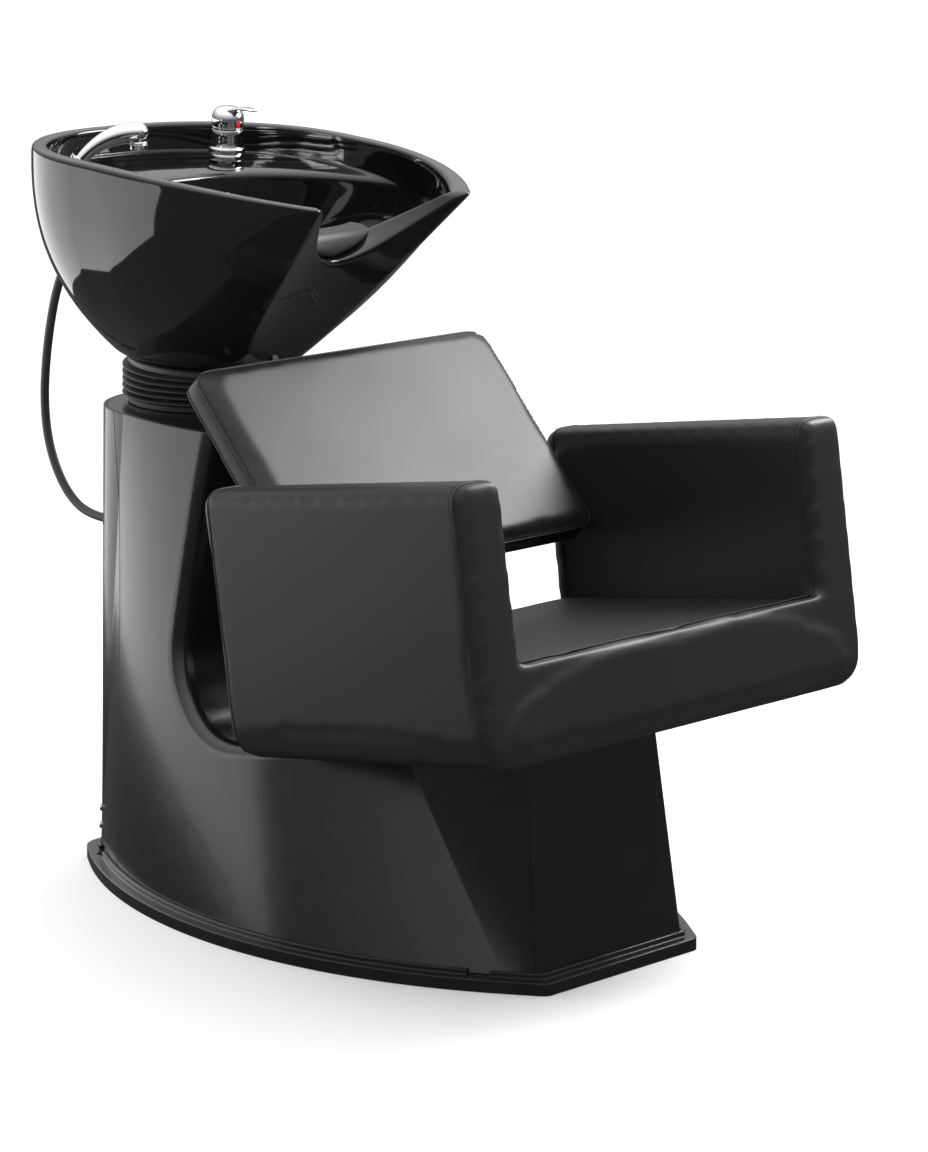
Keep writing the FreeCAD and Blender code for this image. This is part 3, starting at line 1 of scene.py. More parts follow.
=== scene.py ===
"""Looks of a salon backwash unit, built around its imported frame.

Metres. +Z is up, the chair faces -Y, the basin stands at +Y. The chair pieces are drawn level and
leaned back about X, the basin pieces are drawn about the tilt axis and turned to its rest angle.
"""
import json
import math

import bmesh
import bpy
from bpy.props import FloatProperty, FloatVectorProperty, IntProperty, PointerProperty
from bpy.types import Operator, Panel, PropertyGroup
from mathutils import Matrix, Vector
from mathutils.bvhtree import BVHTree


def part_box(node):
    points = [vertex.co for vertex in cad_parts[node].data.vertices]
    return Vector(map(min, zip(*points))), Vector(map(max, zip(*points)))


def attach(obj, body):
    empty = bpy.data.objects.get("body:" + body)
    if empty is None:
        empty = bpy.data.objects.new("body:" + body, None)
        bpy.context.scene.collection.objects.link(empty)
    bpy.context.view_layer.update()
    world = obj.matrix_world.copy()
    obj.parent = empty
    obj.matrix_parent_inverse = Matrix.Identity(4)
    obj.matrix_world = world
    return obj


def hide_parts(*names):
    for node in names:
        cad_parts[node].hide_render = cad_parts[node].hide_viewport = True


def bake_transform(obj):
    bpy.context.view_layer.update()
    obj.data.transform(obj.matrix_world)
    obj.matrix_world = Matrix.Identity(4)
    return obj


bl_info = {
    "name": "Salon backwash unit",
    "version": (1, 0, 0),
    "blender": (4, 5, 0),
    "location": "View3D > Sidebar > Backwash",
    "description": "Builds the upholstery, basin, fittings and studio of a salon backwash unit",
    "category": "Object",
}

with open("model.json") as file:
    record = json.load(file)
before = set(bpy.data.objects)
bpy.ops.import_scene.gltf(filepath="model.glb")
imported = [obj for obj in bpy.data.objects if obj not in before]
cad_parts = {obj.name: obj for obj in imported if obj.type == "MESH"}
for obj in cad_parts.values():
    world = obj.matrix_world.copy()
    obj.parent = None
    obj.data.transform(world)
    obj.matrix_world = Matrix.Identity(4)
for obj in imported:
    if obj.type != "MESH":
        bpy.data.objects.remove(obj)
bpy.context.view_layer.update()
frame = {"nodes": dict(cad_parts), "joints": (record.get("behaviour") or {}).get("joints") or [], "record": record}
NODES = frame["nodes"]
JOINTS = {joint["name"]: joint for joint in frame["joints"]}
SLOT_OF = {part["node"]: part["material_slot"] for part in frame["record"]["subparts"]}

# Frames of the leaned and tilted groups
AXIS = Vector(JOINTS["bowl_tilt"]["pos_m"])
UPRIGHT = Vector(JOINTS["strainer_lift"]["axis"])
TILT = math.atan2(-UPRIGHT.y, UPRIGHT.z)
SEAT_LEAN = math.radians(-9)
BACK_LEAN = math.radians(-42.8)
BACK_PLACE = (0, -0.153, 0.4865)
BASIN = Matrix.Translation(AXIS) @ Matrix.Rotation(TILT, 4, "X")
CHAIR = Matrix.Rotation(SEAT_LEAN, 4, "X")
BACK = Matrix.Translation(BACK_PLACE) @ Matrix.Rotation(BACK_LEAN, 4, "X")


def length(name, default, description):
    return FloatProperty(name=name, default=default, description=description,
                         subtype="DISTANCE", unit="LENGTH", precision=4)


def colour(name, default, description):
    return FloatVectorProperty(name=name, default=default, description=description,
                               subtype="COLOR", size=3, min=0, max=1)


class UpholsterySizes(PropertyGroup):
    """What an upholsterer would change"""

    leather: colour("Leather", (0.009, 0.009, 0.0095), "Colour of the leatherette")
    voxel: length("Voxel", 0.006, "Mesh size of the padded covers")
    swell: length("Swell", 0.003, "How far the arms and the seat front may swell")
    crown: length("Crown", 0.009, "How far the back cushion and the seat pad may swell")
    pressure: FloatProperty(name="Pressure", default=4, description="Air pressure in the covers")
    band: length("Front band", 0.016, "Depth of the front band, up to its welt")
    welt: length("Welt", 0.0065, "Width of the felled welt round the front band")
    piping: length("Piping", 0.0014, "Radius of the sewn edges")
    stitch: length("Stitch", 0.0042, "Length of a stitch")


class BasinSizes(PropertyGroup):
    """The basin, drawn about its tilt axis"""

    glaze: colour("Glaze", (0.006, 0.006, 0.0065), "Colour of the glaze")
    rim_rise: length("Rim", 0.305, "Height of the rim over the tilt axis")
    rim_fall: length("Rim fall", 0.0115, "How far the rim falls towards the back")
    rim_back: FloatProperty(name="Rear fall", default=0.35, description="Share of the fall behind the peak")
    rim_peak: length("Rim peak", 0.03, "How far in front of the axis the rim is highest")
    rim_wide: length("Rim width", 0.022, "Width of the rim")
    rim_round: length("Rim round", 0.011, "Height of the rounded edge of the rim")
    base_rise: length("Base", 0.028, "Height of the base over the tilt axis")
    horn_half: length("Horns", 0.134, "Half the distance between the two horns")
    horn_reach: length("Horn reach", 0.366, "How far the horns stand in front of the axis")
    horn_round: length("Horn round", 0.026, "Radius of the horns, seen from above")
    horn_soft: length("Horn softness", 0.022, "How softly the rim runs over into the notch")
    hollow: length("Front hollow", 0.036, "How far the front wall draws in between the horns")
    half: length("Half width", 0.235, "Half the basin's width")
    shoulder: length("Shoulder", 0.205, "Where the sides start to draw in")
    rear: length("Rear", 0.23, "How far the basin stands behind the axis")
    rear_round: length("Rear round", 0.212, "Radius of the rear corners")
    base_half: length("Base half", 0.111, "Half the width of the base")
    base_front: length("Base front", 0.105, "Front of the base")
    base_rear: length("Base rear", 0.114, "Rear of the base")
    base_round: length("Base round", 0.098, "Radius of the base's rear corners")
    wall: length("Wall", 0.014, "Thickness of the wall")
    deck_drop: length("Deck drop", 0.0415, "How far the tap deck lies under the rim")
    deck_lip: length("Deck lip", 0.012, "Drop of the deck's rounded front edge")
    basin_rear: length("Basin rear", 0.062, "Rear of the basin, where the tap deck starts")
    basin_half: length("Basin half", 0.2165, "Half the basin's inner width")
    floor_rise: length("Floor", 0.082, "Height of the basin's floor over the tilt axis")
    floor_half: length("Floor half", 0.09, "Half the width of the floor")
    notch_drop: length("Notch", 0.117, "Depth of the neck notch under the rim")
    notch_half: length("Notch half", 0.046, "Half the width of the notch's floor")
    notch_round: length("Notch round", 0.034, "How soft the notch's corners are")
    drain: length("Drain", 0.0334, "Radius of the recess for the drain")
    bore: length("Bore", 0.0204, "Radius of the drain hole")


class FittingSizes(PropertyGroup):
    """Tap, hand spray, bellows and hoses"""

    ribs: IntProperty(name="Ribs", default=5, description="Ribs of the bellows")
    rib_out: length("Rib outside", 0.117, "Outer radius of the bellows")
    rib_in: length("Rib inside", 0.107, "Radius of the bellows' cuffs")
    mixer_x: length("Mixer X", 0.112, "Place of the mixer across the deck")
    mixer_y: length("Mixer Y", 0.109, "Place of the mixer along the deck")
    spray_x: length("Spray X", -0.118, "Place of the spray's socket across the deck")
    spray_y: length("Spray Y", 0.148, "Place of the spray's socket along the deck")
    spray_lean: FloatProperty(name="Lean", default=math.radians(38), subtype="ANGLE",
                              description="Lean of the spray's stem")
    spray_turn: FloatProperty(name="Turn", default=math.radians(-38), subtype="ANGLE",
                              description="Heading of the spray's stem")
    spray_curl: FloatProperty(name="Curl", default=math.radians(50), subtype="ANGLE",
                              description="How far the hand spray curls over")
    spray_bend: length("Bend", 0.095, "Radius of the hand spray's curl")
    hose: length("Hose", 0.006, "Radius of the spray hose")


class StudioSettings(PropertyGroup):
    """Camera, light and floor"""

    azimuth: FloatProperty(name="Azimuth", default=math.radians(-44.0), subtype="ANGLE",
                           description="Where the camera stands round the unit")
    elevation: FloatProperty(name="Elevation", default=math.radians(12.584), subtype="ANGLE",
                             description="How far the camera looks down")
    distance: length("Distance", 4.98712, "From the camera to the point that it looks at")
    target: FloatVectorProperty(name="Target", default=(-0.00231, -0.15292, 0.45251), size=3,
                                subtype="XYZ", description="The point that the camera looks at")
    lens: FloatProperty(name="Lens", default=125.09, description="Focal length in millimetres")
    floor: colour("Floor", (0.9, 0.9, 0.9), "Colour of the floor")
    sky: FloatProperty(name="Sky", default=2.0, description="Strength of the light from straight above")
    haze: FloatProperty(name="Haze", default=0.1, description="Strength of the light from below the horizon")


# Shader graphs written as expressions

class Value:
    """A socket that takes part in an expression; each operation adds its own node."""

    def __init__(self, graph, socket):
        self.graph = graph
        self.socket = socket

    def math(self, operation, *numbers):
        return self.graph.add("ShaderNodeMath", {"operation": operation}, dict(enumerate(numbers)))

    def __add__(self, other):
        return self.math("ADD", self, other)

    def __sub__(self, other):
        return self.math("SUBTRACT", self, other)

    def __rsub__(self, other):
        return self.math("SUBTRACT", other, self)

    def __mul__(self, other):
        return self.math("MULTIPLY", self, other)

    __radd__ = __add__
    __rmul__ = __mul__


class Graph:
    """A node tree with one shader at its end."""

    def __init__(self, tree, shader):
        self.tree = tree
        self.shader = tree.nodes[shader]

    def add(self, kind, settings=None, sockets=None, output=0):
        """Adds a node with its settings and the values or links of its sockets."""
        node = self.tree.nodes.new(kind)
        for name, setting in (settings or {}).items():
            setattr(node, name, setting)
        for name, number in (sockets or {}).items():
            self.feed(node.inputs[name], number)
        return Value(self, node.outputs[output])

    def feed(self, socket, number):
        if isinstance(number, Value):
            self.tree.links.new(number.socket, socket)
        elif socket.type == "RGBA" and not isinstance(number, float):
            socket.default_value = (*number[:3], 1)
        else:
            socket.default_value = number

    def set(self, **sockets):
        for name, number in sockets.items():
            self.feed(self.shader.inputs[name], number)


class Finish(Graph):
    """A material and its graph."""

    def __init__(self, name, **constants):
        self.material = bpy.data.materials.new(name)
        self.material.use_nodes = True
        super().__init__(self.material.node_tree, "Principled BSDF")
        self.set(**{key.replace("_", " ").title().replace("Ior", "IOR"): value
                    for key, value in constants.items()})

    def place(self):
        return self.add("ShaderNodeTexCoord", output="Object")

    def noise(self, scale, detail=2.0, roughness=0.5, where=None):
        return self.add("ShaderNodeTexNoise", None, {
            "Vector": where or self.place(), "Scale": float(scale), "Detail": float(detail),
            "Roughness": float(roughness)})

    def cells(self, scale, feature="F1"):
        return self.add("ShaderNodeTexVoronoi", {"feature": feature}, {
            "Vector": self.place(), "Scale": float(scale)}, "Distance")

    def tint(self, share, dark, light):
        """A colour between two colours."""
        return self.add("ShaderNodeMix", {"data_type": "RGBA"}, {
            0: share, 6: dark, 7: light}, 2)

    def bump(self, height, strength, distance):
        return self.add("ShaderNodeBump", None, {
            "Height": height, "Strength": float(strength), "Distance": float(distance)})

    def edge(self, radius):
        """Normals that run smoothly over edges of that radius."""
        return self.add("ShaderNodeBevel", {"samples": 6}, {"Radius": float(radius)})


def shade(number):
    return (number, number, number)


def scaled(tone, factor):
    return tuple(channel * factor for channel in tone)


def leather_finish(tone):
    finish = Finish("satin_leatherette", specular_ior_level=0.36)
    grain = finish.cells(620, "DISTANCE_TO_EDGE")
    fine = finish.noise(900, 3)
    pores = finish.cells(1500)
    creases = finish.noise(14, 4, 0.6)
    height = grain * 0.9 + fine * 0.35 + pores * 0.25 + creases * 0.8
    wear = finish.noise(5, 3)
    finish.set(**{
        "Base Color": finish.tint(wear, scaled(tone, 0.8), scaled(tone, 1.35)),
        "Roughness": 0.36 + 0.12 * wear + 0.06 * fine,
        "Normal": finish.bump(height, 0.22, 0.0006),
    })
    return finish.material


def gloss_finish(name, tone, low, high, coat, peel, edge):
    """Polished moulding or glaze: a faint wave in the surface and a little dust."""
    finish = Finish(name, coat_roughness=0.03, specular_ior_level=0.5)
    dust = finish.noise(55, 5, 0.65)
    wave = finish.noise(9, 1)
    normal = finish.add("ShaderNodeBump", None, {
        "Height": wave, "Strength": float(peel), "Distance": 0.002, "Normal": finish.edge(edge)})
    finish.set(**{
        "Base Color": finish.tint(dust, scaled(tone, 0.8), scaled(tone, 1.5)),
        "Roughness": low + (high - low) * dust,
        "Coat Weight": coat + 0.1 * dust,
        "Normal": normal,
    })
    return finish.material


def rubber_finish(name, tone, roughness):
    finish = Finish(name, specular_ior_level=0.4)
    speckle = finish.noise(420, 3)
    chalk = finish.noise(16, 4)
    finish.set(**{
        "Base Color": finish.tint(chalk, scaled(tone, 0.75), scaled(tone, 1.4)),
        "Roughness": roughness + 0.15 * chalk,
        "Normal": finish.bump(speckle, 0.2, 0.0004),
    })
    return finish.material


def metal_finish(name, tone, low, high, edge):
    finish = Finish(name)
    smear = finish.noise(70, 4, 0.6)
    finish.set(**{
        "Base Color": finish.tint(smear, scaled(tone, 0.92), tone),
        "Metallic": 1.0,
        "Roughness": low + (high - low) * smear,
        "Normal": finish.edge(edge),
    })
    return finish.material


def paint_finish(name, tone):
    finish = Finish(name)
    peel = finish.noise(800, 2)
    blotch = finish.noise(20, 3)
    finish.set(**{
        "Base Color": finish.tint(blotch, scaled(tone, 0.8), scaled(tone, 1.3)),
        "Roughness": 0.42 + 0.15 * blotch,
        "Normal": finish.bump(peel, 0.25, 0.0004),
    })
    return finish.material


def plastic_finish(name, tone, roughness):
    finish = Finish(name)
    fleck = finish.noise(260, 3)
    cloud = finish.noise(24, 3)
    finish.set(**{
        "Base Color": finish.tint(cloud, scaled(tone, 0.9), scaled(tone, 1.1)),
        "Roughness": roughness + 0.1 * fleck,
        "Normal": finish.bump(fleck, 0.1, 0.0003),
    })
    return finish.material


def board_finish(tone):
    """Plywood: grain along the sheet and plies at its edge."""
    finish = Finish("birch_ply")
    stretch = finish.add("ShaderNodeVectorMath", {"operation": "MULTIPLY"}, {
        0: finish.place(), 1: (40.0, 3.0, 40.0)})
    grain = finish.noise(4, 5, 0.6, stretch)
    finish.set(**{
        "Base Color": finish.tint(grain, scaled(tone, 0.6), scaled(tone, 1.15)),
        "Roughness": 0.55 + 0.2 * grain,
        "Normal": finish.bump(grain, 0.2, 0.0005),
    })
    return finish.material


def braid_finish(tone):
    """Woven steel braid of the supply hoses."""
    finish = Finish("steel_braid")
    waves = [finish.add("ShaderNodeTexWave", {"bands_direction": "DIAGONAL"}, {
        "Vector": finish.add("ShaderNodeVectorMath", {"operation": "MULTIPLY"}, {
            0: finish.place(), 1: (side, 1.0, 1.0)}),
        "Scale": 160.0}, 1) for side in (1.0, -1.0)]
    weave = waves[0] * waves[1]
    finish.set(**{
        "Base Color": finish.tint(weave, scaled(tone, 0.4), tone),
        "Metallic": 0.8,
        "Roughness": 0.5 - 0.2 * weave,
        "Normal": finish.bump(weave, 0.5, 0.0006),
    })
    return finish.material


def thread_finish(tone):
    finish = Finish("sewing_thread")
    twist = finish.add("ShaderNodeTexWave", {"bands_direction": "DIAGONAL"}, {
        "Vector": finish.place(), "Scale": 900.0}, 1)
    finish.set(**{
        "Base Color": finish.tint(twist, scaled(tone, 0.6), tone),
        "Roughness": 0.6 + 0.2 * twist,
        "Normal": finish.bump(twist, 0.4, 0.0002),
    })
    return finish.material


FINISHES = {}


def make_finishes(scene):
    leather = tuple(scene.upholstery.leather)
    glaze = tuple(scene.basin.glaze)
    FINISHES.update({
        "upholstery": leather_finish(leather),
        "thread": thread_finish(scaled(leather, 3)),
        "shell_black": gloss_finish("gloss_moulding", (0.005, 0.005, 0.0055), 0.18, 0.28, 0.02, 0.03, 0.003),
        "bowl_glaze": gloss_finish("black_glaze", glaze, 0.03, 0.08, 0.25, 0.015, 0.002),
        "board": board_finish((0.45, 0.33, 0.2)),
        "backing": plastic_finish("black_backing", shade(0.018), 0.5),
        "frame_paint": paint_finish("powder_coat", shade(0.03)),
        "fastener": metal_finish("zinc_plate", (0.5, 0.5, 0.52), 0.25, 0.45, 0.0004),
        "black_rubber": rubber_finish("dark_rubber", (0.022, 0.022, 0.023), 0.42),
        "friction_lining": paint_finish("friction_lining", (0.15, 0.13, 0.11)),
        "chrome": metal_finish("polished_chrome", (0.82, 0.82, 0.84), 0.03, 0.09, 0.0006),
        "spray_face": plastic_finish("chromed_plastic", (0.5, 0.5, 0.52), 0.2),
        "brass": metal_finish("plain_brass", (0.6, 0.45, 0.2), 0.25, 0.4, 0.0004),
        "grey_plastic": plastic_finish("grey_hose", shade(0.3), 0.45),
        "braid": braid_finish(shade(0.55)),
        "red_mark": plastic_finish("red_enamel", (0.6, 0.02, 0.02), 0.15),
    })


# Mesh helpers

def new_piece(name, points, faces, matrix=None):
    mesh = bpy.data.meshes.new(name)
    mesh.from_pydata([tuple(p) for p in points], [], faces)
    if matrix is not None:
        mesh.transform(matrix)
    mesh.update()
    piece = bpy.data.objects.new(name, mesh)
    bpy.context.scene.collection.objects.link(piece)
    return piece


def dress(piece, slot, finish=None, body=None, replaced=()):
    """Gives a piece its finish, and says what it rides on and what it stands for."""
    piece.data.materials.clear()
    piece.data.materials.append(FINISHES[finish or slot])
    if replaced:
        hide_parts(*replaced)
    if body:
        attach(piece, body)
    return piece


def soften(piece, angle=math.radians(35), levels=0):
    """Smooth shading up to an angle, with subdivision where asked."""
    piece.data.shade_smooth()
    if levels:
        rounder = piece.modifiers.new("rounding", "SUBSURF")
        rounder.levels = rounder.render_levels = levels
    else:
        piece.data.set_sharp_from_angle(angle=angle)
    return piece


def ring_faces(rows, count, closed=False):
    """Quads between rings of count points each; open rows get a cap at both ends."""
    faces = []
    for row in range(rows if closed else rows - 1):
        a, b = row * count, (row + 1) % rows * count
        for i in range(count):
            j = (i + 1) % count
            faces.append((a + i, a + j, b + j, b + i))
    if not closed:
        faces.append(tuple(reversed(range(count))))
        faces.append(tuple(range((rows - 1) * count, rows * count)))
    return faces


def ring_piece(name, rings, matrix=None, closed=False):
    points = [p for ring in rings for p in ring]
    return new_piece(name, points, ring_faces(len(rings), len(rings[0]), closed), matrix)


def joined(name, parts, matrix=None):
    """One piece of several capped rows of rings."""
    points, faces = [], []
    for rings in parts:
        base = len(points)
        points += [p for ring in rings for p in ring]
        faces += [tuple(base + i for i in face) for face in ring_faces(len(rings), len(rings[0]))]
    return new_piece(name, points, faces, matrix)


def circle(radius, height, sides):
    return [Vector((radius * math.cos(math.tau * k / sides), radius * math.sin(math.tau * k / sides),
                    height)) for k in range(sides)]


def lathe(name, profile, matrix, sides):
    """A piece of revolution about Z from (radius, height) points."""
    return ring_piece(name, [circle(r, z, sides) for r, z in profile], matrix)


def sweep(points, radius_at, sides=16, closed=False):
    """Rings along a line, kept from twisting; radius_at takes the share of the way."""
    count = len(points)
    rings, side = [], None
    for k, point in enumerate(points):
        before = points[k - 1] if closed or k else points[0]
        after = points[(k + 1) % count] if closed or k < count - 1 else points[-1]
        ahead = (after - before).normalized()
        if side is None:
            side = ahead.orthogonal().normalized()
        side = (side - ahead * side.dot(ahead)).normalized()
        other = ahead.cross(side)
        radius = radius_at(k / (count - 1))
        rings.append([point + radius * (math.cos(math.tau * i / sides) * side
                                        + math.sin(math.tau * i / sides) * other)
                      for i in range(sides)])
    return rings


def between(a, b, share):
    return a + (b - a) * share


def clamp(share):
    return max(0.0, min(1.0, share))


def ease(share):
    return share * share * (3 - 2 * share)


def squared(number, power):
    """A sine or cosine pushed outward, for sections between an ellipse and a rectangle."""
    return math.copysign(abs(number) ** power, number)


def applied(piece):
    """Turns a piece's modifiers into its mesh."""
    graph = bpy.context.evaluated_depsgraph_get()
    mesh = bpy.data.meshes.new_from_object(piece.evaluated_get(graph))
    old = piece.data
    piece.modifiers.clear()
    piece.data = mesh
    bpy.data.meshes.remove(old)
    return piece


def route(points):
    """The points of the smooth line that a hose follows."""
    curve = bpy.data.curves.new("route", "CURVE")
    curve.dimensions = "3D"
    curve.resolution_u = 12
    spline = curve.splines.new("NURBS")
    spline.points.add(len(points) - 1)
    for point, place in zip(spline.points, points):
        point.co = (*place, 1)
    spline.order_u = 3
    spline.use_endpoint_u = True
    holder = bpy.data.objects.new("route", curve)
    bpy.context.scene.collection.objects.link(holder)
    mesh = bpy.data.meshes.new_from_object(holder.evaluated_get(bpy.context.evaluated_depsgraph_get()))
    line = [v.co.copy() for v in mesh.vertices]
    bpy.data.meshes.remove(mesh)
    bpy.data.objects.remove(holder)
    bpy.data.curves.remove(curve)
    return line


# Padded covers

WEAR_PASSES = 5
CLOTH_FRAMES = 20
SINK_SHARE = 0.05
WELT_STEP, WELT_RISE = 0.006, 0.0011
PIPING_STEP, PIPING_SIDES = 0.007, 8
STITCH_PITCH = 1.35
THREAD, THREAD_SIDES = 0.0004, 6
FOOT_ROUND, ARM_ROUND, SEAT_ROUND = 0.04, 0.014, 0.012


def cover_mesh(name, nodes, blocks=()):
    """One closed cover over the named solids and (low, high, matrix) blocks."""
    builder = bmesh.new()
    for node in nodes:
        builder.from_mesh(NODES[node].data)
    for low, high, matrix in blocks:
        size = Vector(high) - Vector(low)
        middle = (Vector(high) + Vector(low)) / 2
        bmesh.ops.create_cube(builder, size=1, matrix=matrix @ Matrix.Translation(middle)
                              @ Matrix.Diagonal((*size, 1)))
    mesh = bpy.data.meshes.new(name)
    builder.to_mesh(mesh)
    builder.free()
    piece = bpy.data.objects.new(name, mesh)
    bpy.context.scene.collection.objects.link(piece)
    return piece


def outer_shell(piece):
    """Keeps a mesh's largest island."""
    builder = bmesh.new()
    builder.from_mesh(piece.data)
    builder.verts.ensure_lookup_table()
    seen, islands = set(), []
    for start in builder.verts:
        if start.index in seen:
            continue
        island, stack = [], [start]
        seen.add(start.index)
        while stack:
            vert = stack.pop()
            island.append(vert)
            for edge in vert.link_edges:
                other = edge.other_vert(vert)
                if other.index not in seen:
                    seen.add(other.index)
                    stack.append(other)
        islands.append(island)
    largest = max(islands, key=len)
    bmesh.ops.delete(builder, geom=[v for island in islands if island is not largest for v in island],
                     context="VERTS")
    builder.to_mesh(piece.data)
    builder.free()


def remeshed(piece, voxel):
    """An even mesh over a piece, with its edges worn round."""
    even = piece.modifiers.new("even", "REMESH")
    even.mode = "VOXEL"
    even.voxel_size = voxel
    applied(piece)
    outer_shell(piece)
    wear = piece.modifiers.new("wear", "SMOOTH")
    wear.factor = 0.5
    wear.iterations = WEAR_PASSES
    return applied(piece)


def inflated(piece, pressure, limit, passes):
    """Air pressure in the cover, with a limit on how far a point moves."""
    rest = [v.co.copy() for v in piece.data.vertices]
    normals = [v.normal.copy() for v in piece.data.vertices]
    cloth = piece.modifiers.new("padding", "CLOTH")
    cloth.settings.use_pressure = True
    cloth.settings.uniform_pressure_force = pressure
    cloth.settings.effector_weights.gravity = 0
    scene = bpy.context.scene
    for number in range(1, CLOTH_FRAMES + 1):
        scene.frame_set(number)
    graph = bpy.context.evaluated_depsgraph_get()
    blown = [v.co.copy() for v in piece.evaluated_get(graph).data.vertices]
    piece.modifiers.clear()
    scene.frame_set(1)
    for vertex, start, normal, end in zip(piece.data.vertices, rest, normals, blown):
        push = max(-SINK_SHARE * limit, min(limit, (end - start).dot(normal)))
        vertex.co = start + normal * push
    piece.data.update()
    settle = piece.modifiers.new("settle", "SMOOTH")
    settle.factor = 0.5
    settle.iterations = passes
    return applied(piece)


def surface(piece):
    return BVHTree.FromPolygons([v.co for v in piece.data.vertices],
                                [p.vertices for p in piece.data.polygons])


def on_surface(tree, points):
    """(place, normal) of the surface nearest to each point."""
    return [tree.find_nearest(p)[:2] for p in points]


def spaced(points, step):
    """Points a step apart along a closed line."""
    line = points + points[:1]
    lengths = [(b - a).length for a, b in zip(line, line[1:])]
    total = sum(lengths)
    count = max(2, round(total / step))
    places, run, k = [], 0.0, 0
    for n in range(count):
        goal = min(total * n / count, total - 1e-9)
        while run + lengths[k] < goal:
            run += lengths[k]
            k += 1
        places.append(line[k].lerp(line[k + 1], (goal - run) / lengths[k]))
    return places


def band_piece(name, spots, half, rise):
    """A flat sewn band along a closed row of (place, normal) spots."""
    count = len(spots)
    rings = []
    for k, (place, normal) in enumerate(spots):
        ahead = (spots[(k + 1) % count][0] - spots[k - 1][0]).normalized()
        side = ahead.cross(normal).normalized()
        rings.append([place + side * (half * x) + normal * (rise * y) for x, y in (
            (-1.0, -0.6), (-1.0, 0.3), (-0.8, 0.9), (-0.45, 1.0), (0.45, 1.0), (0.8, 0.9), (1.0, 0.3),
            (1.0, -0.6))])
    return ring_piece(name, rings, closed=True)


def stitches(name, spots, long, thick, offset):
    """A row of stitches along (place, normal) spots, set to one side of the line."""
    parts = []
    for (place, normal), (after, _) in zip(spots, spots[1:]):
        ahead = (after - place).normalized()
        middle = place + ahead.cross(normal).normalized() * offset
        line = [middle + ahead * (long * x) + normal * (thick * y)
                for x, y in ((-0.5, -0.6), (-0.3, 0.5), (0.0, 0.8), (0.3, 0.5), (0.5, -0.6))]
        parts.append(sweep(line, lambda share: thick, THREAD_SIDES))
    return joined(name, parts)


def rounded_loop(corners, steps=10):
    """A closed outline through (x, y, radius) corners, as points in X and Y."""
    count, points = len(corners), []
    for i, (x, y, radius) in enumerate(corners):
        corner = Vector((x, y))
        back = (Vector(corners[i - 1][:2]) - corner).normalized()
        ahead = (Vector(corners[(i + 1) % count][:2]) - corner).normalized()
        half = back.angle(ahead) / 2
        inward = (back + ahead).normalized()
        centre = corner + inward * (radius / math.sin(half))
        start = corner + back * (radius / math.tan(half)) - centre
        end = corner + ahead * (radius / math.tan(half)) - centre
        swing = start.angle_signed(end)
        for k in range(steps + 1):
            turn = -swing * k / steps
            points.append(centre + Vector((
                start.x * math.cos(turn) - start.y * math.sin(turn),
                start.x * math.sin(turn) + start.y * math.cos(turn))))
    return points


def local_box(node, matrix):
    """Lowest and highest corner of a node in a leaned frame."""
    inverse = matrix.inverted()
    places = [inverse @ v.co for v in NODES[node].data.vertices]
    return (Vector(min(p[k] for p in places) for k in range(3)),
            Vector(max(p[k] for p in places) for k in range(3)))


def padded(cover, sizes, nodes, limit, passes):
    """Inflates a cover, says what it stands for, and returns its surface."""
    remeshed(cover, sizes.voxel)
    inflated(cover, sizes.pressure, limit, passes)
    soften(cover, levels=1)
    dress(cover, "upholstery", body="base", replaced=nodes)
    return surface(cover)


def piping(name, tree, line, radius):
    """A sewn edge along a closed line on a cover."""
    places = [place for place, normal in on_surface(tree, line)]
    rings = sweep(places, lambda share: radius, PIPING_SIDES, closed=True)
    dress(soften(ring_piece(name, rings, closed=True)), "upholstery", body="base")


def seam(name, rows, sizes, offset):
    """A row of stitches in thread."""
    row = stitches(name, rows, sizes.stitch, THREAD, offset)
    dress(soften(row), "upholstery", "thread", "base")


